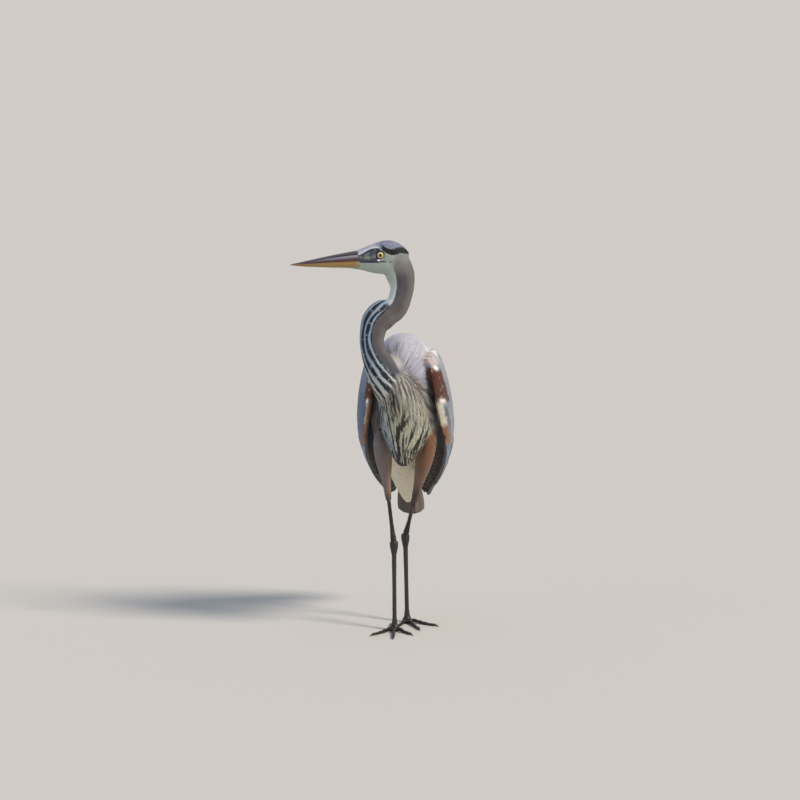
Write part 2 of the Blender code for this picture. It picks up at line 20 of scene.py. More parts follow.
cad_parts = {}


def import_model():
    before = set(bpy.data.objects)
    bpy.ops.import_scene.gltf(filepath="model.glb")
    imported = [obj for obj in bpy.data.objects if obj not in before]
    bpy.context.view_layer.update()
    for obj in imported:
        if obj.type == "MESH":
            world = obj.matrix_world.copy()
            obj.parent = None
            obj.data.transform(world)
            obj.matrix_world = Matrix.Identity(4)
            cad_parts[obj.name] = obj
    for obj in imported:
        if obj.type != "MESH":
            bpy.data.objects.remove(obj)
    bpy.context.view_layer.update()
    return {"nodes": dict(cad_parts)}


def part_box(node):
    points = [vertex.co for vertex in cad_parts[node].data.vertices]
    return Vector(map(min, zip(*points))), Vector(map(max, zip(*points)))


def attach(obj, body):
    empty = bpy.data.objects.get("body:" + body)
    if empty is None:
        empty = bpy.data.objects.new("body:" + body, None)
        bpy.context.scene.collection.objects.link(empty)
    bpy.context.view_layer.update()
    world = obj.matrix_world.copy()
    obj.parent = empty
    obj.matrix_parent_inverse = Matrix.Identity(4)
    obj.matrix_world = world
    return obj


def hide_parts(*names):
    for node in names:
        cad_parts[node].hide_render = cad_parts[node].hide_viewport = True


LOG = logging.getLogger("heron")
MM = 0.001
BODY = "root"
PLUMAGE = "plumage"  # the colour attribute that skin, feathers and horn carry
VANE = "Vane"  # the UV map that tells a feather's material where a spot lies across and along the vane
BAKE = "OFBake"
BAKE_PATCH = 0.003  # width of one feather's patch on the bake map
LEAST_RIDGE = 0.08 * MM  # how high a small feather's ridge stands at the least
SHAFT_WIDTH = 0.12  # of a large feather, as a share of its half width
SHAFT_HEIGHT = 0.35  # mm that it stands up from the vane
Array = np.ndarray


# ---- Small helpers ----
def linear(code: str) -> Array:
    """Turns an sRGB hex colour into linear light.

    Args:
        code: six hex digits after a '#'.

    Returns:
        Three numbers from 0 to 1.
    """
    values = np.array([int(code[i : i + 2], 16) / 255 for i in (1, 3, 5)])
    return np.where(values <= 0.04045, values / 12.92, ((values + 0.055) / 1.055) ** 2.4)


def unit(vectors: Array) -> Array:
    """Scales vectors to length one along their last axis."""
    return vectors / np.maximum(np.linalg.norm(vectors, axis=-1, keepdims=True), 1e-12)


def square_to(vectors: Array, axes: Array) -> Array:
    """Takes out of vectors what runs along unit axes."""
    return vectors - np.sum(vectors * axes, axis=-1, keepdims=True) * axes


def ramp(low: float, high: float, value: Array) -> Array:
    """Rises smoothly from 0 at low to 1 at high, or falls where high is the lower."""
    share = np.clip((np.asarray(value, float) - low) / (high - low), 0.0, 1.0)
    return share * share * (3 - 2 * share)


def bump(centre: float, width: float, value: Array) -> Array:
    """A soft hump of height 1 at centre, down to about a third one width away."""
    return np.exp(-(((np.asarray(value, float) - centre) / width) ** 2))


def mix(first: Array, second: Array, share: Array) -> Array:
    """Blends two sets of colours by the second one's share."""
    share = np.asarray(share)[..., None]
    return np.asarray(first) * (1 - share) + np.asarray(second) * share


def layered(colour: Array, *coats: tuple[Array, Array]) -> Array:
    """Lays colours over one another in order, each by its own share."""
    for over, share in coats:
        colour = mix(colour, over, share)
    return colour


def ripple(points: Array, size: float, seed: float = 0.0) -> Array:
    """Smooth, repeatable noise from about -1 to 1.

    Args:
        points: places, one to a row.
        size: distance over which the noise changes, in metres.
        seed: a number that gives another pattern.

    Returns:
        One value to a place.
    """
    total = np.zeros(points.shape[:-1])
    rng = np.random.default_rng(int(seed * 1000) + 17)
    for octave in range(4):
        for _ in range(3):
            wave = rng.normal(size=3)
            wave *= 2.2 * 1.7**octave / (size * np.linalg.norm(wave))
            total += np.sin(points @ wave + rng.uniform(0, 6.28)) * 0.72**octave
    return total / 4.0


def row_of(keys: Sequence[float], values: Sequence[float], where: Array) -> Array:
    """Reads a short table of sizes at given places, smoothly between its rows."""
    keys, values = np.asarray(keys, float), np.asarray(values, float)
    where = np.clip(where, keys[0], keys[-1])
    slot = np.clip(np.searchsorted(keys, where, side="right") - 1, 0, len(keys) - 2)
    step = keys[slot + 1] - keys[slot]
    share = (where - keys[slot]) / step
    slopes = np.gradient(values, keys)
    cubic, square = share**3, share**2
    return (
        (2 * cubic - 3 * square + 1) * values[slot]
        + (cubic - 2 * square + share) * step * slopes[slot]
        + (3 * square - 2 * cubic) * values[slot + 1]
        + (cubic - square) * step * slopes[slot + 1]
    )


def new_object(name: str, data: Optional[bpy.types.ID]) -> Object:
    """Makes an object of some data and puts it in the scene."""
    piece = bpy.data.objects.new(name, data)
    bpy.context.scene.collection.objects.link(piece)
    return piece


def write_mesh(name: str, points: Array, faces: Array) -> Object:
    """Makes an object from arrays of points and of faces with equal numbers of corners."""
    mesh = bpy.data.meshes.new(name)
    count, corners = faces.shape
    mesh.vertices.add(len(points))
    mesh.vertices.foreach_set("co", np.ascontiguousarray(points, np.float32).ravel())
    mesh.loops.add(count * corners)
    mesh.loops.foreach_set("vertex_index", np.ascontiguousarray(faces, np.int32).ravel())
    mesh.polygons.add(count)
    mesh.polygons.foreach_set("loop_start", np.arange(0, count * corners, corners, dtype=np.int32))
    mesh.polygons.foreach_set("use_smooth", np.ones(count, bool))
    mesh.update(calc_edges=True)
    return new_object(name, mesh)


def read_mesh(mesh: Mesh) -> tuple[Array, Array]:
    """Returns a mesh's points and its faces as triangles."""
    mesh.calc_loop_triangles()
    points = np.empty(len(mesh.vertices) * 3, np.float32)
    mesh.vertices.foreach_get("co", points)
    faces = np.empty(len(mesh.loop_triangles) * 3, np.int32)
    mesh.loop_triangles.foreach_get("vertices", faces)
    return points.reshape(-1, 3).astype(float), faces.reshape(-1, 3)


def read_modified(piece: Object) -> tuple[Array, Array]:
    """Returns an object's mesh as its modifiers leave it, and removes the object."""
    bpy.context.view_layer.update()
    points, faces = read_mesh(piece.evaluated_get(bpy.context.evaluated_depsgraph_get()).to_mesh())
    bpy.data.objects.remove(piece)
    return points, faces


def gathered(nodes: Sequence[Object]) -> tuple[Array, Array, Array]:
    """Returns the points and triangles of several solids as one, and whose each triangle is."""
    points, faces, owner, total = [], [], [], 0
    for index, node in enumerate(nodes):
        own_points, own_faces = read_mesh(node.data)
        points.append(own_points)
        faces.append(own_faces + total)
        owner.append(np.full(len(own_faces), index))
        total += len(own_points)
    return np.vstack(points), np.vstack(faces), np.concatenate(owner)


def paint(piece: Object, colours: Array) -> None:
    """Stores a linear colour for each point of a piece."""
    layer = piece.data.color_attributes.new(PLUMAGE, "FLOAT_COLOR", "POINT")
    full = np.ones((len(colours), 4), np.float32)
    full[:, :3] = np.clip(colours, 0.0, 1.0)
    layer.data.foreach_set("color", full.ravel())


def add_map(piece: Object, name: str, values: Array) -> None:
    """Adds a UV map from one pair of numbers for each point."""
    layer = piece.data.uv_layers.new(name=name)
    corners = np.empty(len(piece.data.loops), np.int32)
    piece.data.loops.foreach_get("vertex_index", corners)
    layer.data.foreach_set("uv", np.ascontiguousarray(values[corners], np.float32).ravel())


def extent(name: str) -> tuple[Array, Array]:
    """Returns a node's lowest and highest corners."""
    low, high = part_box(name)
    return np.array(low), np.array(high)


def middle_of(name: str) -> Array:
    """Returns the middle of a node's box."""
    return np.array(sum(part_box(name), Vector())) / 2


def settle(piece: Object, material: Material, nodes: Sequence[str] = ()) -> None:
    """Gives a piece its material, the body that it rides on and the nodes that it stands for."""
    piece.data.materials.clear()
    piece.data.materials.append(material)
    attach(piece, BODY)
    if nodes:
        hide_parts(*nodes)
    LOG.info("%s: %d faces", piece.name, len(piece.data.polygons))


def point_normals(points: Array, faces: Array) -> Array:
    """Returns a unit normal for each point, from the faces round it weighed by their areas."""
    a, b, c = (points[faces[:, k]] for k in range(3))
    face_normals = np.cross(b - a, c - a)
    normals = np.zeros_like(points)
    for k in range(3):
        for axis in range(3):
            normals[:, axis] += np.bincount(faces[:, k], face_normals[:, axis], len(points))
    return unit(normals)


def edges_of(faces: Array) -> Array:
    """Returns each edge of a set of triangles once, as pairs of points."""
    pairs = np.sort(np.vstack([faces[:, (0, 1)], faces[:, (1, 2)], faces[:, (2, 0)]]), axis=1)
    return np.unique(pairs, axis=0)


def relax(values: Array, edges: Array, rounds: int, strength: float = 0.5) -> Array:
    """Averages values over their neighbours, a few times over."""
    count = np.maximum(np.bincount(edges.ravel(), minlength=len(values)), 1)[:, None]
    values = values.reshape(len(values), -1).astype(float)
    for _ in range(rounds):
        total = np.zeros_like(values)
        for axis in range(values.shape[1]):
            total[:, axis] = np.bincount(edges[:, 0], values[edges[:, 1], axis], len(values))
            total[:, axis] += np.bincount(edges[:, 1], values[edges[:, 0], axis], len(values))
        values = values + strength * (total / count - values)
    return values


# ---- The heron's own coordinates ----
# The middle of the neck from the breast up to the head, as the neck solids have it, and where the throat
# faces there, in degrees from the front (-Y) towards the bird's right (-X).
NECK_STATIONS = (
    (0.0160, -0.060, 0.485, 0),
    (-0.0060, -0.104, 0.528, 22),
    (-0.0270, -0.130, 0.570, 46),
    (-0.0405, -0.143, 0.604, 68),
    (-0.0466, -0.149, 0.632, 84),
    (-0.0444, -0.150, 0.656, 90),
    (-0.0375, -0.150, 0.676, 90),
    (-0.0215, -0.148, 0.6895, 90),
    (-0.0040, -0.145, 0.697, 90),
    (0.0070, -0.143, 0.7095, 90),
    (0.0130, -0.141, 0.729, 90),
    (0.0155, -0.140, 0.747, 90),
    (0.0120, -0.140, 0.769, 90),
    (0.0040, -0.140, 0.790, 90),
)
NECK_NODES = ("neck_lower", "neck_middle", "neck_upper")
# The folded wing's upper edge and its leading edge, in degrees round the body from the back, at stations.
WING_STATIONS = (-0.053, -0.040, 0.000, 0.060, 0.120, 0.180, 0.240, 0.300, 0.360, 0.405, 0.428)
WING_TOP = (90, 73, 50, 32, 18, 9, 6, 7, 16, 42, 74)
WING_LEAD = (104, 112, 119, 122, 120, 114, 107, 102, 98, 95, 91)
SIDES = {"left": 1.0, "right": -1.0}


@dataclass
class Anatomy:
    """Directions and coordinates of the head, neck and body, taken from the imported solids.

    The body's axis runs back and down from the shoulders. Stations are metres along it.
    """

    nodes: dict[str, Object]
    bill_droop: float = 0.036
    body_yaw: float = math.radians(2.2)
    body_slope: float = math.radians(47.6)
    shoulder: tuple[float, float, float] = (0.018, -0.060, 0.560)
    neck_samples: int = 140

    def __post_init__(self) -> None:
        """Works out the axes and the neck's line."""
        self.eyes = {side: middle_of(f"eye_{side}") for side in SIDES}
        left, right = self.eyes.values()
        low, high = extent("eye_left")
        self.eye_radius = (high[1] - low[1]) / 2
        self.head_centre = (left + right) / 2
        self.head_left = unit(left - right)
        upper, _ = read_mesh(self.nodes["bill_upper"].data)
        tip = upper[np.argmax(np.linalg.norm(upper - self.head_centre, axis=1))]
        ahead = tip - self.head_centre
        ahead = unit(ahead - ahead @ self.head_left * self.head_left)
        upwards = np.cross(ahead, self.head_left)
        self.head_ahead = unit(ahead * math.cos(self.bill_droop) + upwards * math.sin(self.bill_droop))
        self.head_up = np.cross(self.head_ahead, self.head_left)
        yaw, slope = self.body_yaw, self.body_slope
        forward = np.array((-math.sin(yaw), -math.cos(yaw), 0.0))
        self.body_left = np.array((math.cos(yaw), -math.sin(yaw), 0.0))
        self.body_back = -forward * math.cos(slope) - np.array((0, 0, math.sin(slope)))
        self.body_top = forward * math.sin(slope) * -1 + np.array((0, 0, math.cos(slope)))
        self.body_top = unit(self.body_top - self.body_top @ self.body_back * self.body_back)
        self.make_neck_line()
        points, faces, _ = gathered([self.nodes[f"wing_{side}"] for side in SIDES])
        self.wing_tree = BVHTree.FromPolygons(points.tolist(), faces.tolist())

    def make_neck_line(self) -> None:
        """Lays the neck's middle line through its stations, with its directions and lengths."""
        table = np.array(NECK_STATIONS)
        keys = np.arange(len(table))
        where = np.linspace(0, len(table) - 1, self.neck_samples)
        self.neck_line = np.stack([row_of(keys, table[:, k], where) for k in range(3)], axis=1)
        facing = np.radians(row_of(keys, table[:, 3], where))
        self.neck_up = unit(np.gradient(self.neck_line, axis=0))
        throat = np.stack([-np.sin(facing), -np.cos(facing), np.zeros_like(facing)], axis=1)
        self.neck_throat = unit(square_to(throat, self.neck_up))
        steps = np.linalg.norm(np.diff(self.neck_line, axis=0), axis=1)
        self.neck_length = np.concatenate([[0], np.cumsum(steps)])

    def head(self, points: Array) -> tuple[Array, Array, Array]:
        """Returns how far points lie ahead of, left of and above the middle of the eyes, in mm."""
        away = (points - self.head_centre) / MM
        return away @ self.head_ahead, away @ self.head_left, away @ self.head_up

    def neck(self, points: Array) -> tuple[Array, Array, Array]:
        """Returns neck coordinates.

        Args:
            points: places, one to a row.

        Returns:
            Metres up the neck, degrees round it from the throat, and its downward direction.
        """
        nearest = np.zeros(len(points), int)
        for start in range(0, len(points), 20000):
            part = points[start : start + 20000]
            gaps = ((part[:, None, :] - self.neck_line[None, :, :]) ** 2).sum(axis=2)
            nearest[start : start + 20000] = gaps.argmin(axis=1)
        away = points - self.neck_line[nearest]
        up, throat = self.neck_up[nearest], self.neck_throat[nearest]
        along = np.sum(away * up, axis=1)
        side = np.cross(up, throat)
        angle = np.degrees(np.arctan2(np.sum(away * side, axis=1), np.sum(away * throat, axis=1)))
        return self.neck_length[nearest] + along, angle, -up

    def body(self, points: Array) -> tuple[Array, Array, Array]:
        """Returns body coordinates.

        Args:
            points: places, one to a row.

        Returns:
            Metres back along the body, degrees round it from the back towards the bird's left, and
            metres from its axis.
        """
        away = points - np.array(self.shoulder)
        station = away @ self.body_back
        left, top = away @ self.body_left, away @ self.body_top
        return station, np.degrees(np.arctan2(left, top)), np.hypot(left, top)

    def outward(self, points: Array) -> Array:
        """Returns directions straight out from the body's axis through points."""
        station, angle, _ = self.body(points)
        return unit(points - self.body_place(station, angle, np.zeros(len(points))))

    def body_place(self, station: Array, angle: Array, radius: Array) -> Array:
        """Turns body coordinates, with the angle in degrees, into places."""
        turn = np.radians(np.asarray(angle, float))[..., None]
        out = np.sin(turn) * self.body_left + np.cos(turn) * self.body_top
        axis = np.array(self.shoulder) + np.asarray(station, float)[..., None] * self.body_back
        return axis + out * np.asarray(radius, float)[..., None]


# ---- The forms that carry the coat ----
LEG_PARTS = ("shin", "tarsus")
TOE_NAMES = ("middle", "outer", "inner", "hind")
FEATHERED = (
    "head", *NECK_NODES, "breast_plumes", "trunk", "wing_left", "wing_right", "thigh_left", "thigh_right"
)
BILL_NODES = ("bill_upper", "bill_lower")


def flesh_names() -> tuple[str, ...]:
    """Names every node of flesh: the feathered ones, the bare legs and the toes."""
    legs = [f"{part}_{side}" for side in SIDES for part in LEG_PARTS]
    toes = [f"toe_{side}_{toe}" for side in SIDES for toe in TOE_NAMES]
    return (*FEATHERED, *legs, *toes)


def fuse(nodes: Sequence[Object], growth: float, voxel: float) -> tuple[Array, Array]:
    """Grows solids a little and fuses them into one closed surface with an even net.

    Args:
        nodes: objects with closed meshes.
        growth: how far each surface moves out before they are fused.
        voxel: size of the net, in metres.

    Returns:
        Points and triangles of the largest shell.
    """
    gather = bmesh.new()
    for node in nodes:
        gather.from_mesh(node.data)
    bmesh.ops.remove_doubles(gather, verts=gather.verts, dist=1e-5)
    bmesh.ops.recalc_face_normals(gather, faces=gather.faces)
    gather.normal_update()
    moved = [(vert, vert.co + vert.normal * growth) for vert in gather.verts]
    for vert, place in moved:
        vert.co = place
    mesh = bpy.data.meshes.new("fused")
    gather.to_mesh(mesh)
    gather.free()
    piece = new_object("fused", mesh)
    net = piece.modifiers.new("net", "REMESH")
    net.mode = "VOXEL"
    net.voxel_size = voxel
    points, faces = read_modified(piece)
    bpy.data.meshes.remove(mesh)
    return largest_shell(points, faces)


def largest_shell(points: Array, faces: Array) -> tuple[Array, Array]:
    """Keeps the shell with the most points and drops closed pockets inside it."""
    edges = edges_of(faces)
    labels = np.arange(len(points))
    while True:
        lowest = np.minimum(labels[edges[:, 0]], labels[edges[:, 1]])
        before = labels.copy()
        np.minimum.at(labels, edges[:, 0], lowest)
        np.minimum.at(labels, edges[:, 1], lowest)
        labels = labels[labels]
        if np.array_equal(before, labels):
            break
    kept = labels == np.bincount(labels).argmax()
    renumber = np.cumsum(kept) - 1
    return points[kept], renumber[faces[kept[faces[:, 0]]]]


@dataclass
class Form:
    """A closed surface with a smooth normal, a lie of the coat and a body part at each point."""

    points: Array
    faces: Array
    parts: tuple[str, ...] = ()

    def __post_init__(self) -> None:
        """Works out the edges, the normals and the search tree."""
        self.edges = edges_of(self.faces)
        self.refresh()
        self.lie = np.zeros_like(self.points)
        self.part = np.zeros(len(self.points), int)
        self.shares = np.zeros((len(self.points), max(len(self.parts), 1)))

    @classmethod
    def around(
        cls, nodes: dict, names: tuple[str, ...], growth: float, voxel: float, rounds: int, spread: int = 5
    ) -> "Form":
        """Fuses named solids into one form.

        Args:
            nodes: every solid by name.
            names: the ones wanted.
            growth: how far they move out first.
            voxel: size of the net.
            rounds: how often it is smoothed.
            spread: how far the parts' borders are softened.

        Returns:
            The form.
        """
        form = cls(*fuse([nodes[name] for name in names], growth, voxel), names)
        form.name_parts(nodes, spread)
        form.smooth(rounds)
        return form

    def refresh(self) -> None:
        """Works out normals and the search tree anew, after points have moved."""
        self.normals = point_normals(self.points, self.faces)
        self.tree = BVHTree.FromPolygons(self.points.tolist(), self.faces.tolist())

    def smooth(self, rounds: int) -> None:
        """Rounds the surface off without shrinking it much: each pass in is followed by one out."""
        for _ in range(rounds):
            self.points = relax(self.points, self.edges, 1, 0.55)
            self.points = relax(self.points, self.edges, 1, -0.57)
        self.refresh()

    def name_parts(self, nodes: dict[str, Object], spread: int = 5) -> None:
        """Finds the solid nearest to each point, and softens the borders between parts."""
        points, faces, owner = gathered([nodes[name] for name in self.parts])
        tree = BVHTree.FromPolygons(points.tolist(), faces.tolist())
        found = [tree.find_nearest(point)[2] for point in self.points.tolist()]
        self.part = owner[np.array(found)]
        self.shares = relax(np.eye(len(self.parts))[self.part], self.edges, spread)

    def set_lie(self, directions: Array, rounds: int = 14) -> None:
        """Lays the coat along given directions, evened out over the surface."""
        for _ in range(rounds):
            directions = unit(relax(unit(square_to(directions, self.normals)), self.edges, 1, 0.5))
        self.lie = unit(square_to(directions, self.normals))

    def nearest(self, places: Array) -> tuple[Array, Array, Array]:
        """Drops places onto the surface.

        Args:
            places: points in space, one to a row.

        Returns:
            The nearest surface points, the corners of the triangles they lie in, and each corner's share.
        """
        found = [self.tree.find_nearest(place) for place in places.tolist()]
        spots = np.array([hit[0] for hit in found])
        corners = self.faces[np.array([hit[2] for hit in found])]
        gaps = np.linalg.norm(self.points[corners] - spots[:, None, :], axis=2)
        weights = 1 / (gaps + 1e-5)
        return spots, corners, weights / weights.sum(axis=1, keepdims=True)

    def blend(self, values: Array, corners: Array, weights: Array) -> Array:
        """Mixes values held at the corners of triangles."""
        return np.einsum("ij,ij...->i...", weights, values[corners])

    def scatter(
        self, chance: Array, spacing: Array, rng: np.random.Generator, plenty: float = 5.0
    ) -> tuple[Array, Array, Array]:
        """Picks evenly scattered places on the surface.

        Args:
            chance: for each triangle, true where a place may lie.
            spacing: for each point of the surface, the least distance between two places.
            rng: a seeded generator.
            plenty: candidates tried for each place that is expected.

        Returns:
            The places, the corners of their triangles and the corners' shares.
        """
        a, b, c = (self.points[self.faces[:, k]] for k in range(3))
        area = np.linalg.norm(np.cross(b - a, c - a), axis=1) / 2 * chance
        gap = spacing[self.faces].mean(axis=1)
        wanted = area / (0.75 * gap**2)
        count = int(wanted.sum() * plenty)
        if count == 0:
            return np.zeros((0, 3)), np.zeros((0, 3), int), np.zeros((0, 3))
        pick = rng.choice(len(self.faces), count, p=wanted / wanted.sum())
        u, v = rng.random(count), rng.random(count)
        over = u + v > 1
        u[over], v[over] = 1 - u[over], 1 - v[over]
        weights = np.stack([1 - u - v, u, v], axis=1)
        corners = self.faces[pick]
        places = self.blend(self.points, corners, weights)
        return tuple(part[thinned(places, gap[pick])] for part in (places, corners, weights))


def thinned(places: Array, gaps: Array) -> Array:
    """Returns the numbers of places left once none lies closer to an earlier one than its gap."""
    tree = KDTree(len(places))
    for index, place in enumerate(places.tolist()):
        tree.insert(place, index)
    tree.balance()
    open_places = np.ones(len(places), bool)
    kept = []
    for index, (place, gap) in enumerate(zip(places.tolist(), gaps.tolist())):
        if open_places[index]:
            kept.append(index)
            for _, near, _ in tree.find_range(place, gap):
                open_places[near] = False
    return np.array(kept, int)


# ---- Markings ----
class Tone(Enum):
    """The colours of a young great blue heron's coat and bare skin, as sRGB hex; a few carry painted shade or
    sheen.
    """

    # partly painted sheen: the crown's slate is lightened for the sheen on top of it
    CROWN = "#8f97ad"
    STRIPE = "#101217"
    BROW = "#e6e7ea"
    FOREHEAD = "#c1c2d0"
    FOREHEAD_STREAK = "#6d7080"
    LORE = "#36404a"
    LORE_SPOT = "#8a9275"
    CHEEK = "#9aa2a1"
    CHIN = "#a6b2a8"
    NAPE = "#818583"
    NECK_BACK = "#5e5b5b"
    NECK_DARK = "#4c494d"
    # painted shade: the blue-slate of the lower neck's shaded sides
    NECK_SHADE = "#454a57"
    THROAT = "#ccd3d2"
    # painted shade: the cool blue of the throat's shaded side
    THROAT_SHADE = "#8ea3b8"
    STREAK = "#101115"
    HAIR = "#726e6c"
    HAIR_PALE = "#b0aca7"
    HAIR_DARK = "#5f5a57"
    CREAM = "#c0ba94"
    MANTLE = "#b3b7c9"
    MANTLE_WARM = "#bfc0cf"
    WING = "#8a909d"
    WING_BLUE = "#66809f"
    WING_DARK = "#2a2b31"
    WING_INNER = "#9a8f82"
    WING_PINK = "#d3bfba"
    CHESTNUT = "#552f23"
    RUFOUS = "#8a603f"
    WING_CREAM = "#cfcab6"
    TUFT = "#faf7f3"
    BELLY = "#ddd6be"
    THIGH = "#805c41"
    THIGH_MAUVE = "#7b706f"
    THIGH_EDGE = "#8f7458"
    TAIL = "#4f525b"
    TAIL_BROWN = "#a99a8b"
    TAIL_OLIVE = "#5f574c"
    SHANK = "#262123"
    SHANK_EDGE = "#7d573a"
    SOLE = "#6b5a45"

    def __array__(self, *_: object, **__: object) -> Array:
        """The tone in linear light, which numpy takes wherever it is given a tone."""
        return linear(self.value)


@dataclass
class Markings:
    """The pattern that skin and feathers both carry, worked out from where a place lies on the bird."""

    anatomy: Anatomy
    parts: tuple[str, ...]
    crown_edge: tuple[tuple[float, ...], ...] = (
        (-60, -50, -41, -32, -23, -9, 0, 10, 42),
        (-5, -2, 0.5, -1.5, -1.0, 6.5, 13, 14.5, 3),
    )
    gape_edge: tuple[tuple[float, ...], ...] = ((-20, -9, 5, 45), (-14.5, -13.5, -13.8, -11.5))
    streak_rows: tuple[tuple[float, float], ...] = (
        (0, 8), (31, 8.5), (-31, 8.5), (60, 9), (-60, 9), (84, 4), (-84, 4)
    )
    streak_length: float = 0.023
    neck_root: tuple[float, float, float] = (0.0007, -0.130, 0.585)
    wing_tuft: tuple[float, float, float] = (0.0765, -0.060, 0.592)
    breast_axis: float = -0.085  # y of the line that the breast bends round
    breast_radius: float = 0.06
    right_share: float = 0.38  # width of the right wing's front markings against the left's

    def head(self, points: Array) -> Array:
        """Colours of the crown, stripe, brow, lores, cheek and chin."""
        ahead, left, up = self.anatomy.head(points)
        edge, gape = row_of(*self.crown_edge, ahead), row_of(*self.gape_edge, ahead)
        top = ramp(edge - 0.8, edge + 0.8, up + 0.7 * ripple(points, 0.006, 0.3))
        crown = mix(Tone.CROWN, Tone.STRIPE, 0.35 * bump(0, 0.5, ripple(points, 0.006, 0.4)))
        streaks = ramp(0.0, 0.5, np.sin(np.abs(left) * 2.1 + 1.3 * ripple(points, 0.02, 0.6)))
        forehead = mix(Tone.FOREHEAD, Tone.FOREHEAD_STREAK, 0.75 * streaks)
        crown = mix(crown, forehead, ramp(-4, 14, ahead + 2.4 * ripple(points, 0.012, 0.9)))
        stripe = top * ramp(edge + 13.5, edge + 9.5, up + 2 * ripple(points, 0.01, 0.7)) * ramp(-1, -7, ahead)
        lore = ramp(-3, 4, ahead) * (1 - ramp(edge - 0.5, edge + 0.8, up)) * ramp(gape - 1, gape + 0.6, up)
        bare = mix(Tone.LORE, Tone.FOREHEAD, 0.22 * ramp(0.1, 0.7, ripple(points, 0.005, 1.7)))
        bare = mix(bare, Tone.LORE_SPOT, 0.9 * (bump(27, 8, ahead) * bump(-3.5, 2.6, up)))
        tear = bump(4, 2.2, ahead) * bump(-10.6, 2.0, up)
        line = bump(0, 1.25, up - gape) * ramp(-12, -8, ahead)
        return layered(
            Tone.CHEEK,
            (Tone.CHIN, ramp(-12, -20, up)),
            (Tone.NAPE, ramp(-22, -40, ahead + 0.35 * up)),
            (Tone.NECK_BACK, ramp(-24, -36, ahead + 0.1 * up) * ramp(-12, -26, up)),
            (crown, top),
            (Tone.BROW, 0.7 * top * ramp(edge + 4.5, edge + 1.0, up) * ramp(-2, 6, ahead)),
            (Tone.STRIPE, stripe),
            (bare, lore),
            (Tone.TUFT, np.clip(1.5 * tear, 0, 1)),
            (Tone.STRIPE, np.clip(1.3 * line, 0, 1)),
            (Tone.WING_DARK, 0.8 * (bump(-20, 3.5, ahead) * bump(-15.5, 1.5, up))),
        )

    def neck(self, points: Array) -> Array:
        """Colours of the neck: grey-brown behind, white along the throat, with braided black lines."""
        height, angle, _ = self.anatomy.neck(points)
        share, side = height / self.anatomy.neck_length[-1], np.abs(angle)
        back = layered(
            Tone.NECK_BACK,
            (Tone.NECK_DARK, 0.5 + 0.5 * ripple(points, 0.03, 2.1)),
            (Tone.NAPE, 0.85 * ramp(0.92, 1.03, share)),
            # painted shade: the lower neck's front sides turn blue-slate as if in shade
            (Tone.NECK_SHADE, 0.8 * ramp(0.62, 0.35, share) * ramp(150, 110, side)),
            (Tone.HAIR, 0.4 * ramp(0.08, 0.0, share)),
            (Tone.HAIR, 0.6 * ramp(108, 150, side)),
        )
        width = row_of((0.0, 0.3, 0.5, 0.66, 0.76, 1.0), (64, 85, 87, 78, 58, 70), share)
        throat = ramp(width + 4, width - 4, side + 3 * ripple(points, 0.012, 3.1))
        pale = layered(
            Tone.THROAT,
            (Tone.CHIN, ramp(0.8, 1.0, share)),
            # painted shade: the middle of the throat turns bluish as if in cool shade
            (Tone.THROAT_SHADE, ramp(0.78, 0.70, share) * ramp(0.20, 0.48, share)),
            (Tone.CREAM, 0.75 * ramp(0.30, 0.10, share)),
        )
        black = np.zeros(len(points))
        for index, (row, wide) in enumerate(self.streak_rows):
            sway = 2.4 * np.sin(height / 0.019 + index * 2.3)
            swell = 1 + 0.22 * np.sin(height / 0.0075 + index * 1.3)
            lane = ramp(1.25, 0.75, np.abs(angle - row - sway) / (wide * swell))
            beat = np.sin(height / self.streak_length * 6.28 + index * 1.9)
            black = np.maximum(black, lane * ramp(-1.02, -0.95, beat))
        black = black * ramp(0.74, 0.69, share) * ramp(0.0, 0.05, share)
        return layered(back, (pale, throat), (Tone.STREAK, 0.97 * black))

    def breast(self, points: Array) -> Array:
        """Colours of the long breast feathers: cream below the throat, grey on the bird's left."""
        across, down = self.breast_place(points)
        fine = ripple(points, 0.03, 4.2)
        bend = self.breast_radius * np.arctan2(across, np.maximum(self.breast_axis - points[:, 1], 0.002))
        edge = ramp(-0.010, 0.010, (across - 0.027) * 0.97 + 0.044 - down + 0.004 * fine)
        edge = np.maximum(edge, 0.6 * ramp(0.028, 0.042, across) * ramp(0.15, 0.11, down))
        cream = mix(Tone.CREAM, Tone.THROAT, 0.35 + 0.3 * ripple(points, 0.03, 4.4))
        # painted shade: the breast's right side turns bluish as if in cool shade
        cream = mix(cream, Tone.THROAT_SHADE, 0.7 * ramp(0.004, -0.022, across))
        strand = ramp(-0.5, 0.6, np.sin(bend / 0.0011 + 2.0 * ripple(points, 0.05, 4.5)))
        grey = mix(Tone.HAIR_PALE, Tone.HAIR, strand)
        dark = bump(0.009, 0.016, across + 0.2 * (0.03 - down)) * ramp(0.085, 0.045, down)
        blot = ripple(np.stack([bend * 2.5, down, 0 * bend], axis=1), 0.0155, 4.8)
        black = ramp(0.06, 0.28, blot + 0.16 * ramp(0.08, 0.17, down)) * ramp(0.055, 0.10, down)
        lane = ramp(0.2, 0.7, np.sin(bend / 0.0013 + 1.4 * ripple(points, 0.05, 4.6)))
        black = np.maximum(black, 0.8 * lane * ramp(-0.1, 0.2, blot) * ramp(0.10, 0.06, down))
        cords = ramp(-0.35, 0.2, np.sin(bend / 0.0010 + 1.2 * ripple(points, 0.04, 4.7)))
        upper = ramp(0.020, 0.006, across - 0.2 * down) * ramp(0.12, 0.07, down)
        fringe = ramp(0.155, 0.175, down) * ramp(-0.5, 0.0, np.sin(bend / 0.0016 + 0.7))
        black = np.maximum(black * (1 - 0.85 * edge) * (1 - dark), fringe)
        black = np.maximum(black, cords * upper * ramp(-0.6, -0.3, blot) * (1 - 0.7 * edge))
        return layered(cream, (grey, edge), (Tone.NECK_BACK, 0.85 * dark), (Tone.STREAK, 0.93 * black))

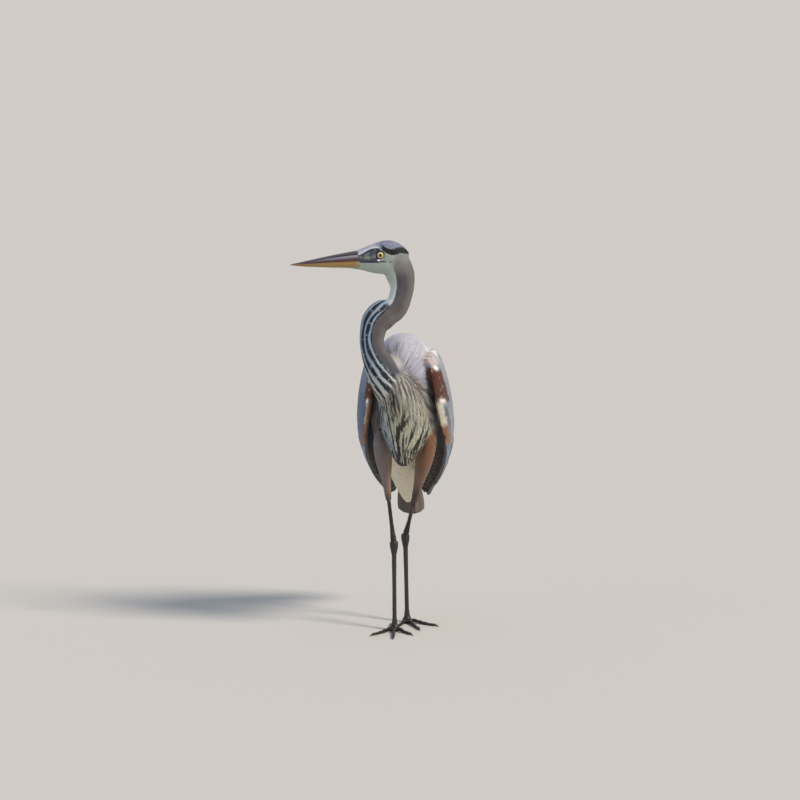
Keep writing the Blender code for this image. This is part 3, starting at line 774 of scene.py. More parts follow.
    def breast_place(self, points: Array) -> tuple[Array, Array]:
        """Returns how far points lie to the left of the middle of the breast, and how far down it."""
        top, tip = np.array((-0.028, 0.0, 0.560)), np.array((0.0175, 0.0, 0.367))
        along = unit(tip - top)
        across = np.array((-along[2], 0.0, along[0]))
        away = points * np.array((1, 0, 1)) - top
        return away @ across, away @ along

    def trunk(self, points: Array) -> Array:
        """Colours of the mantle, the hair-like plumes beside the breast, the belly and the vent."""
        station, angle, _ = self.anatomy.body(points)
        side = np.abs(angle)
        mantle = mix(Tone.MANTLE, Tone.MANTLE_WARM, ramp(0.03, -0.06, station))
        mantle = mix(mantle, Tone.WING, 0.7 * ramp(0.04, 0.22, station))
        mantle = mantle * (1 - 0.10 * ramp(0.1, 0.9, ripple(points * (1, 1, 3), 0.02, 5.7)))[:, None]
        away = points - np.array(self.neck_root)
        fan = np.arctan2(away[:, 0], -away[:, 2])
        strand = ramp(-0.5, 0.7, np.sin(fan * 44 + 1.6 * ripple(points, 0.04, 5.3)))
        hair = mix(Tone.HAIR_PALE, Tone.HAIR, strand)
        beside = ramp(0.006, -0.012, self.shoulder_height(points) + 0.004 * ripple(points, 0.03, 5.5))
        mottle = ramp(0.1, 0.7, ripple(points, 0.02, 5.1)) * ramp(150, 120, side)
        belly = mix(Tone.BELLY, Tone.HAIR, 0.35 * mottle)
        short = row_of(WING_STATIONS, WING_LEAD, station) - side
        right = points[:, 0] < 0
        # painted shadow: dark in the gap between the breast and the wing's leading edge, wider on the bird's
        # right
        gap = bump(np.where(right, -8, 0), np.where(right, 20, 9), short) * ramp(-0.03, -0.01, station)
        # painted highlight: a white spot at the root of the neck
        painted_highlight = 0.7 * bump(0, 0.016, np.linalg.norm(away, axis=1))
        return layered(
            mantle,
            (hair, beside),
            (belly, ramp(96, 112, side) * ramp(0.10, 0.16, station)),
            (Tone.WING_DARK, 0.8 * gap * ramp(0.26, 0.2, station)),
            (Tone.TUFT, np.clip(1.2 * np.maximum(painted_highlight, self.near_tuft(points, 0.016)), 0, 1)),
        )

    def near_tuft(self, points: Array, width: float) -> Array:
        """Returns 1 at the white spot on top of the bird's left wing, fading over a width."""
        return bump(0, width, np.linalg.norm(points - np.array(self.wing_tuft), axis=1))

    def shoulder_height(self, points: Array) -> Array:
        """Returns metres above the line where the smooth mantle ends and the hair-like plumes begin."""
        root = np.array(self.neck_root)
        return points[:, 2] - root[2] + 0.74 * np.abs(points[:, 0] - root[0])

    def wing(self, points: Array) -> Array:
        """Colours of the folded wing: grey, with a chestnut wrist and a cream and rufous front edge."""
        station, angle, _ = self.anatomy.body(points)
        short = row_of(WING_STATIONS, WING_LEAD, station) - np.abs(angle)
        right = points[:, 0] < 0
        short = np.where(right & (short > 0), short / self.right_share, short)
        level = 0.887 - (0.985 * points[:, 2] + 0.174 * points[:, 1]) / 0.61  # as stations on the outside
        rough = ripple(points, 0.012, 6.3)
        # painted shade: the bird's right wing is made bluer and darker, as the side in cool shade
        blue = 0.12 + 0.3 * ripple(points, 0.05, 6.1) + 0.9 * right
        base = mix(Tone.WING, Tone.WING_BLUE, np.clip(blue, 0, 1)) * np.where(right, 0.66, 0.94)[:, None]
        wrist = ramp(26, 21, short + 3 * rough) * ramp(-0.012, 0.0, level)
        wrist = wrist * ramp(0.116, 0.104, level + 0.006 * rough)
        chestnut = mix(Tone.CHESTNUT, Tone.WING_CREAM, ramp(0.80, 0.95, ripple(points, 0.008, 6.5)))
        white = bump(-0.004, 0.007, level) * bump(13, 5, short)
        white = np.maximum(white, bump(0.107, 0.007, level) * bump(8, 5, short))
        strip = ramp(8.5, 5.5, short + 2 * rough) * ramp(0.108, 0.120, level) * ramp(0.262, 0.245, level)
        change = ramp(0.178, 0.195, level + 0.012 * rough)
        edge = mix(Tone.WING_CREAM, Tone.RUFOUS, np.maximum(change, ramp(4.5, 2, short) * right))
        line = bump(10.5, 1.5, short + rough) * ramp(0.12, 0.14, level) * ramp(0.21, 0.17, level)
        bars = ramp(-0.1, 0.3, np.sin(level / 0.0011 + 2 * rough)) * ramp(22, 16, short)
        # painted shade: the inner face, turned to the body, is painted dark, with the plumes' own paler
        # lengthwise lines
        inner = ramp(-3, -9, short) * ramp(0.06, 0.12, level)
        inner = np.maximum(inner, self.inner_face(points) * ramp(0.245, 0.275, level))
        plumes = ramp(-0.6, 0.5, np.sin(station / 0.0012 + 5 * short / 57 + 2 * rough))
        return layered(
            base,
            (Tone.MANTLE, 0.4 * ramp(0.08, -0.04, station)),
            (Tone.WING_PINK, 0.7 * ramp(-0.012, -0.022, level) * ramp(32, 20, short)),
            (chestnut, wrist),
            (Tone.TUFT, np.clip(1.6 * white, 0, 1)),
            (edge, strip),
            (Tone.HAIR_DARK, 0.55 * (bars * ramp(0.25, 0.27, level))),
            (Tone.WING_DARK, 0.8 * line),
            # painted shade with plume lines on the inner face
            (mix(Tone.WING_DARK, Tone.WING_INNER, plumes), 0.9 * inner),
            (Tone.TUFT, np.clip(1.2 * self.near_tuft(points, 0.013), 0, 1)),
        )

    def inner_face(self, points: Array) -> Array:
        """Returns 1 on the wings' inner faces, which turn towards the body, and 0 outside."""
        sides = np.array([self.anatomy.wing_tree.find_nearest(place)[1] for place in points.tolist()])
        return ramp(0.15, -0.15, np.sum(self.anatomy.outward(points) * sides, axis=1))

    def thigh(self, points: Array) -> Array:
        """Colours of the feathered leg: rufous, mauve-grey on the outer back, pale down its front edge."""
        left = points[:, 0] > 0.012
        tan = mix(Tone.THIGH, Tone.THIGH_MAUVE, 0.35 * ramp(-0.01, 0.03, points[:, 1]))
        low, high = extent("thigh_right")
        across = (points[:, 0] - low[0]) / (high[0] - low[0])
        mauve = mix(Tone.THIGH_MAUVE, Tone.THIGH_EDGE, 0.8 * ramp(0.66, 0.84, across))
        colour = np.where(left[:, None], tan, mauve)
        colour = mix(colour, Tone.SHANK, 0.7 * ramp(low[2] + 0.035, low[2], points[:, 2]))
        return mix(colour, Tone.HAIR_DARK, 0.25 * ramp(0.1, 0.8, ripple(points, 0.006, 7.4)))

    def at(self, points: Array, shares: Array) -> Array:
        """Returns the coat's colour at places, given how much each body part owns them."""
        total = np.zeros((len(points), 3))
        weight = np.zeros(len(points))
        for index, name in enumerate(self.parts):
            own = shares[:, index]
            near = own > 0.02
            if near.any():
                total[near] += self.part_colour(name, points[near]) * own[near, None]
                weight += own * near
        return total / np.maximum(weight, 1e-6)[:, None]

    def part_colour(self, name: str, points: Array) -> Array:
        """Returns the colours of one body part."""
        part = name.split("_")[0].replace("bill", "head")
        if part in ("head", "neck", "breast", "trunk", "wing", "thigh"):
            return getattr(self, part)(points)
        return np.broadcast_to(Tone.SHANK, points.shape)


# ---- Feathers ----
class VaneOutline(Enum):
    """Half width of a small feather from root to tip, as shares of the widest."""

    CONTOUR = (0.5, 0.85, 1.0, 0.97, 0.8, 0.45, 0.0)
    BARB = (0.8, 1.0, 0.7, 0.0)
    HAIR = (0.7, 1.0, 0.85, 0.5, 0.0)
    LANCE = (0.55, 0.9, 1.0, 0.88, 0.6, 0.28, 0.0)

    @property
    def along(self) -> Array:
        """Where those widths stand from root to tip, closer together towards the tip."""
        return np.sin(np.linspace(0, math.pi / 2, len(self.value)))


def vane_net(walk: Array, side: Array, crest: Array, along: Array) -> tuple[Array, Array, Array]:
    """Nets small feathers or scales round their middle lines.

    Args:
        walk: middle lines, by feather and station.
        side: from the middle to the right rim, by feather and station.
        crest: the ridge on top, by feather and station.
        along: where the stations stand, from 0 to 1.

    Returns:
        Points by feather, one feather's triangles, and its points' places on the vane.
    """
    grid = np.stack([walk - side, crest, walk + side], axis=2)[:, :-1].reshape(len(walk), -1, 3)
    across, lengthwise = np.tile((0.0, 0.5, 1.0), len(along) - 1), np.repeat(along[:-1], 3)
    lengthwise[1] = -0.12  # the cap at the root keeps some width on the bake map
    vane = np.concatenate([np.stack([across, lengthwise], axis=1), [(0.5, 1.0)]])
    left, tip = 3 * (len(along) - 2), 3 * (len(along) - 1)
    faces = []
    for a in range(0, left, 3):  # a ridged top and a flat underside
        faces += [(a, a + 1, a + 4), (a, a + 4, a + 3), (a + 1, a + 2, a + 5), (a + 1, a + 5, a + 4)]
        faces += [(a, a + 3, a + 5), (a, a + 5, a + 2)]
    faces += [(left, left + 1, tip), (left + 1, left + 2, tip), (left, tip, left + 2), (1, 0, 2)]
    return np.concatenate([grid, walk[:, -1:]], axis=1), np.array(faces), vane


def slab_net(top: Array, under: Array) -> tuple[Array, Array, Array, Array]:
    """Nets large feathers or plates that have a thickness.

    Args:
        top: the upper side, by feather, station and column.
        under: the underside, whose rim isn't used.

    Returns:
        Points by feather, one feather's triangles, its points' places on the vane, and the numbers of
        the inner points, which come twice.
    """
    count, stations, columns = top.shape[:3]
    upper = np.arange(stations * columns).reshape(stations, columns)
    inner = upper[1:-1, 1:-1].ravel()
    lower = upper.copy()
    lower[1:-1, 1:-1] = stations * columns + np.arange(inner.size).reshape(stations - 2, columns - 2)
    faces = []
    for grid, turned in ((upper, 1), (lower, -1)):
        a, b, c, d = (part.ravel() for part in (grid[:-1, :-1], grid[:-1, 1:], grid[1:, 1:], grid[1:, :-1]))
        faces += [np.stack(trio[::turned], axis=1) for trio in ((a, b, c), (a, c, d))]
    points = np.concatenate([top.reshape(count, -1, 3), under.reshape(count, -1, 3)[:, inner]], axis=1)
    u, v = np.meshgrid(np.linspace(0, 1, columns), np.linspace(0, 1, stations))
    vane = np.stack([u.ravel(), v.ravel()], axis=1)
    return points, np.vstack(faces), np.vstack([vane, vane[inner]]), inner


@dataclass
class Flock:
    """Many feathers gathered before they become one mesh."""

    points: list[Array] = field(default_factory=list)
    faces: list[Array] = field(default_factory=list)
    colours: list[Array] = field(default_factory=list)
    vane: list[Array] = field(default_factory=list)
    bake: list[Array] = field(default_factory=list)
    count: int = 0

    def add(self, points: Array, faces: Array, colours: Array, vane: Array, roots: Array) -> None:
        """Adds feathers of one kind.

        Args:
            points: places, by feather and point.
            faces: one feather's triangles.
            colours: linear colours, by feather and point.
            vane: across and along the vane from 0 to 1, by point.
            roots: each feather's place on the unwrapped skin, from 0 to 1.
        """
        feathers, corners = points.shape[:2]
        if feathers == 0:
            return
        starts = self.count + np.arange(feathers)[:, None, None] * corners
        self.faces.append((faces[None] + starts).reshape(-1, 3))
        self.points.append(points.reshape(-1, 3))
        self.colours.append(np.broadcast_to(colours, points.shape).reshape(-1, 3))
        self.vane.append(np.tile(vane, (feathers, 1)))
        patch = (vane - (0.5, 0.0)) * BAKE_PATCH
        self.bake.append((roots[:, None, :] + patch[None]).reshape(-1, 2))
        self.count += feathers * corners

    def piece(self, name: str, crease: float = 50.0) -> Object:
        """Makes one mesh of all the feathers, with its colours and maps."""
        piece = write_mesh(name, np.vstack(self.points), np.vstack(self.faces))
        paint(piece, np.vstack(self.colours))
        add_map(piece, BAKE, np.clip(np.vstack(self.bake), 0.001, 0.999))
        add_map(piece, VANE, np.vstack(self.vane))
        piece.data.set_sharp_from_angle(angle=math.radians(crease))
        return piece


def spread_roots(places: Array) -> Array:
    """Fits unwrapped root places into the bake map, with a margin for the patches."""
    low, high = places.min(axis=0), places.max(axis=0)
    return 0.01 + (places - low) / np.maximum(high - low, 1e-9) * 0.975


Size = float | Callable[[Array], Array]  # metres, or a function of places that returns metres


def everywhere(points: Array, normals: Array) -> Array:
    """A tract that fills its body parts."""
    return np.ones(len(points), bool)


def size_at(size: Size, points: Array) -> Array:
    """Returns a size at each place."""
    return size(points) if callable(size) else np.full(len(points), size)


@dataclass(frozen=True)
class Tract:
    """One tract of small feathers: where it grows, and how long, wide and deep its feathers are."""

    name: str
    slot: str
    parts: tuple[str, ...]
    spacing: Size
    length: Size
    half_width: Size
    depth: float
    outline: VaneOutline
    where: Callable[[Array, Array], Array] = everywhere
    lift: float = 0.4 * MM
    ridge: float = 0.12
    stray: float = 5.0
    tone_spread: float = 0.05
    root_shade: float = 0.82
    fringe: float = 0.0


@dataclass
class Plumage:
    """Lays tracts of feathers over the coat's form."""

    form: Form
    markings: Markings
    anatomy: Anatomy

    def follow(
        self, roots: tuple[Array, Array, Array], lengths: Array, along: Array, turn: Array
    ) -> tuple[Array, Array, Array]:
        """Walks from each root over the surface along the lie of the coat.

        Args:
            roots: places on the surface, the corners of their triangles and the corners' shares.
            lengths: how far to walk.
            along: where the walk stops to note its place, as shares of its length.
            turn: each feather's own turn from the lie, in radians.

        Returns:
            Places, normals and body-part shares, by feather and stop.
        """
        form = self.form
        places, corners, weights = roots
        walk, normals, shares = [], [], []
        for index, step in enumerate(np.diff(along, append=1.0)):
            normal = unit(form.blend(form.normals, corners, weights))
            lie = unit(square_to(form.blend(form.lie, corners, weights), normal))
            lie = lie * np.cos(turn)[:, None] + np.cross(normal, lie) * np.sin(turn)[:, None]
            walk.append(places)
            normals.append(normal)
            shares.append(form.blend(form.shares, corners, weights))
            if index < len(along) - 1:
                places, corners, weights = form.nearest(places + lie * (lengths * step)[:, None])
        return np.stack(walk, axis=1), np.stack(normals, axis=1), np.stack(shares, axis=1)

    def unwrap(self, part: str, places: Array) -> Array:
        """Unrolls a part of the skin round its own axis, for the bake map."""
        if part == "head":
            ahead, left, up = self.anatomy.head(places)
            return np.stack([np.arctan2(left, up + 4), ahead / 60], axis=1)
        if part.startswith("neck"):
            height, angle, _ = self.anatomy.neck(places)
            return np.stack([angle, height], axis=1)
        if part.startswith("thigh"):
            low = places.mean(axis=0)
            turn = np.arctan2(places[:, 0] - low[0], low[1] - places[:, 1])
            return np.stack([turn, places[:, 2]], axis=1)
        station, angle, _ = self.anatomy.body(places)
        return np.stack([angle, station], axis=1)

    def lay(self, tract: Tract, seed: int) -> Object:
        """Builds one tract.

        Args:
            tract: the tract's sizes.
            seed: the number that fixes its small irregularities.

        Returns:
            One mesh of all its feathers.
        """
        form = self.form
        rng = np.random.default_rng(seed)
        wanted = [form.parts.index(part) for part in tract.parts]
        belongs = np.isin(form.part, wanted)[form.faces].all(axis=1)
        middles = form.points[form.faces].mean(axis=1)
        chance = belongs * tract.where(middles, form.normals[form.faces].mean(axis=1))
        found = form.scatter(chance, size_at(tract.spacing, form.points), rng)
        roots = found[0]
        count = len(roots)
        length = size_at(tract.length, roots) * rng.uniform(0.86, 1.14, count)
        half = size_at(tract.half_width, roots) * rng.uniform(0.88, 1.12, count)
        outline, along = np.array(tract.outline.value), tract.outline.along
        turn = np.radians(rng.normal(0, tract.stray, count))
        walk, normals, shares = self.follow(found, length, along, turn)
        rise = tract.lift * rng.uniform(0.2, 1.8, count)[:, None] * along**2
        sink = -tract.depth * (1 - along) ** 1.15
        walk = walk + normals * (rise + sink)[..., None]
        tangents = unit(np.gradient(walk, axis=1))
        normals = unit(square_to(normals, tangents))
        reach = half[:, None, None] * outline[None, :, None]
        crest = walk + normals * np.maximum(reach * tract.ridge, LEAST_RIDGE)
        points, faces, vane = vane_net(walk, np.cross(tangents, normals) * reach, crest, along)
        flat = self.markings.at(walk.reshape(-1, 3), shares.reshape(-1, shares.shape[2]))
        colours = self.vary(flat.reshape(walk.shape), tract, rng)
        shades = colours[:, :-1]  # the tip keeps the tone of the station before it
        colours = np.concatenate([np.repeat(shades, 3, axis=1), shades[:, -1:]], axis=1)
        flock = Flock()
        flock.add(points, faces, colours, vane, spread_roots(self.unwrap(tract.parts[0], roots)))
        return flock.piece(tract.name)

    def vary(self, colours: Array, tract: Tract, rng: np.random.Generator) -> Array:
        """Gives each feather its own slight tone, a shaded root and a darker or paler fringe."""
        tone = np.exp(rng.normal(0, tract.tone_spread, len(colours)))[:, None, None]
        along = tract.outline.along
        shade = tract.root_shade + (1 - tract.root_shade) * ramp(0.2, 0.8, along)
        shade = shade * (1 + tract.fringe * ramp(0.8, 0.98, along))
        return colours * tone * shade[None, :, None]


# ---- Finishes ----
def add_node(tree: NodeTree, kind: str, *values: object, **inputs: object) -> Node:
    """Adds a shader node.

    Args:
        tree: the material's node tree.
        kind: the node's type without its first word, such as 'Mix', and its operation after a colon.
        values: what its first sockets get: values, sockets, or nodes whose first output is meant.
        inputs: the same for sockets by name, with '_' for a space, or by number as in 'i6', and the node's
            own settings.

    Returns:
        The node.
    """
    kind, _, operation = kind.partition(":")
    node = tree.nodes.new("ShaderNode" + kind)
    if operation:
        node.operation = operation
    for key, value in [*enumerate(values), *inputs.items()]:
        if hasattr(node, str(key)):
            setattr(node, key, value)
            continue
        if isinstance(key, str):
            key = int(key[1:]) if key[1:].isdigit() else key.replace("_", " ")
        value = value.outputs[0] if isinstance(value, Node) else value
        if isinstance(value, NodeSocket):
            tree.links.new(value, node.inputs[key])
        else:
            node.inputs[key].default_value = value
    return node


def new_material(name: str, **sockets: object) -> tuple[Material, NodeTree, Node]:
    """Makes a material with one Principled shader.

    Args:
        name: the material's name.
        sockets: values for the shader's sockets, by name with '_' for a space.

    Returns:
        The material, its node tree and the shader.
    """
    material = bpy.data.materials.new(name)
    material.use_nodes = True
    tree = material.node_tree
    shader = next(node for node in tree.nodes if node.type == "BSDF_PRINCIPLED")
    for key, value in sockets.items():
        shader.inputs[key.replace("_", " ")].default_value = value
    return material, tree, shader


@dataclass(frozen=True)
class FeatherFinish:
    """Keratin feather, grown: dull, faintly silky, with barbs that slant off a shaft.

    The barbs break the light up along each vane. Real ones lie 0.3 to 0.5 mm apart; here they are drawn
    about 1 mm apart, as coarse as it takes for them to show.
    """

    name: str
    barbs: float
    shaft: float = 0.35
    contrast: float = 0.16
    roughness: float = 0.66
    sheen: float = 0.12
    slant: float = -0.5  # how far the barbs lean towards the tip

    def make(self) -> Material:
        """Builds the material."""
        dull = {"Roughness": self.roughness, "Specular IOR Level": 0.3}
        silk = {"Sheen Weight": self.sheen, "Sheen Roughness": 0.5}
        material, tree, shader = new_material(self.name, **dull, **silk)
        colour = add_node(tree, "Attribute", attribute_name=PLUMAGE)
        place = add_node(tree, "SeparateXYZ", add_node(tree, "UVMap", uv_map=VANE)).outputs
        off = add_node(tree, "Math:ABSOLUTE", add_node(tree, "Math:SUBTRACT", place["X"], 0.5))
        lean = add_node(tree, "Math:MULTIPLY_ADD", off, self.slant, place["Y"])
        wave = add_node(tree, "Math:SINE", add_node(tree, "Math:MULTIPLY", lean, self.barbs * 6.283))
        barb = add_node(tree, "MapRange", wave, -1.0, 1.0, 1 - self.contrast, 1.0)
        shaft = add_node(tree, "MapRange", off, 0.02, 0.07, 1 - self.shaft, 1.0)
        shade = add_node(tree, "Math:MULTIPLY", barb, shaft)
        shaded = add_node(tree, "VectorMath:SCALE", colour, Scale=shade)
        tree.links.new(shaded.outputs[0], shader.inputs["Base Color"])
        return material


@dataclass(frozen=True)
class PaintedFinish:
    """Skin, horn or eye whose colours lie in the mesh: only gloss and a fine grain are added."""

    name: str
    roughness: float
    grain: float = 0.0
    grain_size: float = 1.0 * MM
    coat: float = 0.0
    coat_roughness: float = 0.05
    gloss: float = 0.5

    def make(self) -> Material:
        """Builds the material."""
        surface = {"Roughness": self.roughness, "Specular IOR Level": self.gloss}
        film = {"Coat Weight": self.coat, "Coat Roughness": self.coat_roughness}
        material, tree, shader = new_material(self.name, **surface, **film)
        colour = add_node(tree, "Attribute", attribute_name=PLUMAGE)
        tree.links.new(colour.outputs[0], shader.inputs["Base Color"])
        if self.grain:
            place = add_node(tree, "TexCoord").outputs["Object"]
            noise = add_node(tree, "TexNoise", Vector=place, Scale=1 / self.grain_size, Detail=3.0)
            grain = add_node(tree, "Bump", Height=noise, Strength=self.grain, Distance=self.grain_size * 0.3)
            tree.links.new(grain.outputs[0], shader.inputs["Normal"])
        return material


@dataclass(frozen=True)
class FloorFinish:
    """Painted studio floor: matt and pale, so that it only catches the shadow."""

    tone: str = "#c9c7c3"

    def make(self) -> Material:
        """Builds the material."""
        return new_material("matt_painted_floor", Base_Color=(*linear(self.tone), 1.0), Roughness=0.9)[0]


# ---- Skin ----
@dataclass
class Skin:
    """The one skin under the coat, bare only on the lores, the gape and the legs."""

    anatomy: Anatomy
    markings: Markings
    growth: float = 0.6 * MM
    voxel: float = 2.4 * MM
    face_cuts: int = 3
    depths: tuple[float, ...] = (1.3, 3.6, 2.4, 2.0, 7.0, 5.0, 3.8, 3.8, 2.4, 2.4)  # mm, as FEATHERED goes
    bare_depth: float = 0.4 * MM
    deepest: float = 0.30  # share of the flesh's thickness that the coat may take

    def build(self) -> None:
        """Builds the skin as one closed mesh that replaces every node of flesh."""
        names = flesh_names()
        form = Form.around(self.anatomy.nodes, names, self.growth, self.voxel, 5)
        depth = np.full(len(names), self.bare_depth)
        depth[: len(FEATHERED)] = np.array(self.depths) * MM
        wanted = (form.shares @ depth) * (1 - self.bare_face(form.points)) + self.growth
        room = [
            form.tree.ray_cast(Vector(place - normal * 2e-4), Vector(-normal))[3] or 1.0
            for place, normal in zip(form.points, form.normals)
        ]
        sunk = np.minimum(wanted, self.deepest * np.array(room))[:, None]
        sunk = relax(sunk, form.edges, 6, 0.5)
        form.points = form.points - form.normals * sunk
        form.points = relax(form.points, form.edges, 2, 0.4)
        form.refresh()
        piece = write_mesh("skin", form.points, form.faces)
        self.refine_face(piece)
        points, _ = read_mesh(piece.data)
        _, corners, weights = form.nearest(points)
        paint(piece, self.markings.at(points, form.blend(form.shares, corners, weights)))
        finish = PaintedFinish("bare_leathery_skin", roughness=0.55, grain=0.3, grain_size=0.8 * MM)
        settle(piece, finish.make(), names)

    def refine_face(self, piece: Object) -> None:
        """Divides the net on the bare face, so that its small markings come out sharp."""
        net = bmesh.new()
        net.from_mesh(piece.data)
        net.verts.ensure_lookup_table()
        places = np.array([vert.co for vert in net.verts])
        ahead, _, up = self.anatomy.head(places)
        inside = (ahead > -28) & (ahead < 50) & (up > -20) & (up < 22)
        edges = [edge for edge in net.edges if all(inside[vert.index] for vert in edge.verts)]
        bmesh.ops.subdivide_edges(net, edges=edges, cuts=self.face_cuts, use_grid_fill=True)
        bmesh.ops.triangulate(net, faces=net.faces)
        net.to_mesh(piece.data)
        net.free()

    def bare_face(self, points: Array) -> Array:
        """Returns 1 on the lores and the gape, where no feathers grow."""
        ahead, _, up = self.anatomy.head(points)
        edge = row_of(*self.markings.crown_edge, ahead)
        return ramp(-3, 5, ahead) * ramp(edge + 1, edge - 1, up) * ramp(-17, -14, up)


# ---- The coat, tract by tract ----
@dataclass
class Coat:
    """Every tract of small feathers."""

    anatomy: Anatomy
    markings: Markings
    form: Form

    def tracts(self) -> list[tuple[Tract, FeatherFinish]]:
        """Lists the tracts with their finishes."""
        body, head = self.anatomy.body, self.anatomy.head
        small = FeatherFinish("small_contour_feathers", barbs=5, shaft=0.06, contrast=0.06)
        middling = FeatherFinish("body_contour_feathers", barbs=12, shaft=0.08, contrast=0.10)
        hair = FeatherFinish("hair_like_plumes", barbs=24, shaft=0.08, contrast=0.08)

        def face(points: Array, normals: Array) -> Array:
            """Feathered parts of the head: all but the lores, the eyes and the horn of the bill."""
            ahead, left, up = head(points)
            edge = row_of(*self.markings.crown_edge, ahead)
            gape = row_of(*self.markings.gape_edge, ahead)
            bare = (ahead > 1) & (up < edge - 1) & (up > gape - 1.0)
            forehead = (up > 0) & (ahead > 45.5 + 0.9 * np.clip(7 - np.abs(left), 0, 7))
            chin = (up < 0) & (ahead > 45 + 1.6 * np.clip(9 - np.abs(left), 0, 9))
            return ~(bare | forehead | chin | (np.hypot(ahead, up) < 10.2))

        def head_length(points: Array) -> Array:
            """Short about the face, longer towards the nape."""
            return row_of((-60, -30, 0, 30, 60), (0.0115, 0.0085, 0.0055, 0.0042, 0.0036), head(points)[0])

        def neck_length(points: Array) -> Array:
            """Longer towards the breast."""
            return row_of((0.0, 0.08, 0.2, 0.4), (0.032, 0.024, 0.016, 0.011), self.anatomy.neck(points)[0])

        def mantle_place(points: Array, normals: Array) -> Array:
            """The smooth dome of the shoulders and the back between the wings."""
            station, angle, _ = body(points)
            high = self.markings.shoulder_height(points) > 0
            return np.where(station < 0.12, high, True) & (np.abs(angle) < 112)

        def shoulder_place(points: Array, normals: Array) -> Array:
            """The front of the shoulders, between the neck, the breast and the wings."""
            return ~mantle_place(points, normals) & (body(points)[0] < 0.16)

        def belly_place(points: Array, normals: Array) -> Array:
            """Everything of the trunk below the wings."""
            return ~mantle_place(points, normals) & (body(points)[0] > 0.10)

        def wing_rim(points: Array, normals: Array) -> Array:
            """The wing's edges, its tip and its inner face, which no row of larger feathers covers."""
            station, angle, _ = body(points)
            short = row_of(WING_STATIONS, WING_LEAD, station) - np.abs(angle)
            over = np.abs(angle) - row_of(WING_STATIONS, WING_TOP, station)
            inside = np.sum(self.anatomy.outward(points) * normals, axis=1) < 0.3
            front = (short < 15) & (station < 0.17)
            return inside | front | (over < 4) | (station < -0.035) | (station > 0.40)

        def tuft_place(points: Array, normals: Array) -> Array:
            """A small spot on top of the bird's left wing."""
            return np.linalg.norm(points - np.array(self.markings.wing_tuft), axis=1) < 11 * MM

        pen = VaneOutline
        plain = {"stray": 3, "root_shade": 0.95}
        down = {"ridge": 0.035, **plain}
        leg_down = {"lift": 0.08 * MM, "ridge": 0.035, "stray": 4, "tone_spread": 0.04, "root_shade": 0.93}
        necks = [
            Tract(
                f"{node}_feathers", "plumage_neck", (node,), lambda p: 0.00055 + neck_length(p) * 0.045,
                neck_length, lambda p: 0.00078 + neck_length(p) * 0.021, depth, pen.BARB,
                lift=0.06 * MM, tone_spread=0.03, **down,
            )
            for node, depth in zip(NECK_NODES, (2.0 * MM, 1.2 * MM, 0.9 * MM))
        ]
        wings = [
            Tract(
                f"wing_edge_feathers_{side}", "plumage_grey", (f"wing_{side}",), 2.5 * MM, 13 * MM, 1.7 * MM,
                2.6 * MM, pen.HAIR, wing_rim, lift=0.2 * MM,
            )
            for side in SIDES
        ]
        thighs = [
            Tract(
                f"thigh_feathers_{side}", "plumage_rufous", (f"thigh_{side}",), 1.7 * MM, 11 * MM, 1.25 * MM,
                1.1 * MM, pen.BARB, **leg_down,
            )
            for side in SIDES
        ]
        head_tract = Tract(
            "head_feathers", "plumage_grey", ("head", *BILL_NODES), lambda p: 0.00042 + head_length(p) * 0.07,
            head_length, lambda p: 0.00044 + head_length(p) * 0.075, 0.6 * MM, pen.BARB, face,
            lift=0.04 * MM, tone_spread=0.025, **down,
        )
        mantle = Tract(
            "mantle_feathers", "plumage_grey", ("trunk",), 2.1 * MM, 16 * MM, 2.0 * MM, 1.4 * MM, pen.HAIR,
            mantle_place, lift=0.05 * MM, ridge=0.04, tone_spread=0.02, fringe=-0.04, **plain,
        )
        shoulder = Tract(
            "shoulder_plumes", "plumage_grey", ("trunk",), 2.1 * MM, 40 * MM, 0.9 * MM, 3.2 * MM, pen.LANCE,
            shoulder_place, lift=0.8 * MM, tone_spread=0.06,
        )
        belly = Tract(
            "belly_feathers", "plumage_pale", ("trunk",), 3.1 * MM, 24 * MM, 2.1 * MM, 3.6 * MM, pen.CONTOUR,
            belly_place, lift=0.15 * MM, ridge=0.06, tone_spread=0.03, root_shade=0.9,
        )
        breast = Tract(
            "breast_feathers", "plumage_pale", ("breast_plumes",), 2.3 * MM, 48 * MM, 1.2 * MM, 6.0 * MM,
            pen.LANCE, lift=1.2 * MM, stray=4, tone_spread=0.08,
        )
        tuft = Tract(
            "shoulder_tuft", "plumage_pale", ("trunk", "wing_left"), 1.5 * MM, 19 * MM, 0.7 * MM, 0.5 * MM,
            pen.LANCE, tuft_place, lift=4.0 * MM, stray=22,
        )
        fine = [(tract, small) for tract in (head_tract, *necks, *thighs)]
        coarse = [(tract, middling) for tract in (mantle, belly, *wings)]
        return [*fine, *coarse, *((tract, hair) for tract in (shoulder, breast, tuft))]

    def build(self) -> None:
        """Lays every tract."""
        plumage = Plumage(self.form, self.markings, self.anatomy)
        made: dict[FeatherFinish, Material] = {}
        for seed, (tract, finish) in enumerate(self.tracts()):
            if finish not in made:
                made[finish] = finish.make()
            flesh = [part for part in tract.parts if part in FEATHERED]
            settle(plumage.lay(tract, seed + 11), made[finish], flesh)


def coat_form(anatomy: Anatomy, growth: float = 1.2 * MM, voxel: float = 2.6 * MM) -> Form:
    """Fuses the feathered solids into the coat's outer form and lays its feathers' directions."""
    names = (*FEATHERED, *BILL_NODES)
    form = Form.around(anatomy.nodes, names, growth, voxel, 8)
    lie = np.zeros_like(form.points)
    for index, name in enumerate(names):
        mine = form.part == index
        lie[mine] = part_lie(anatomy, name, form.points[mine])
    form.set_lie(lie)
    return form


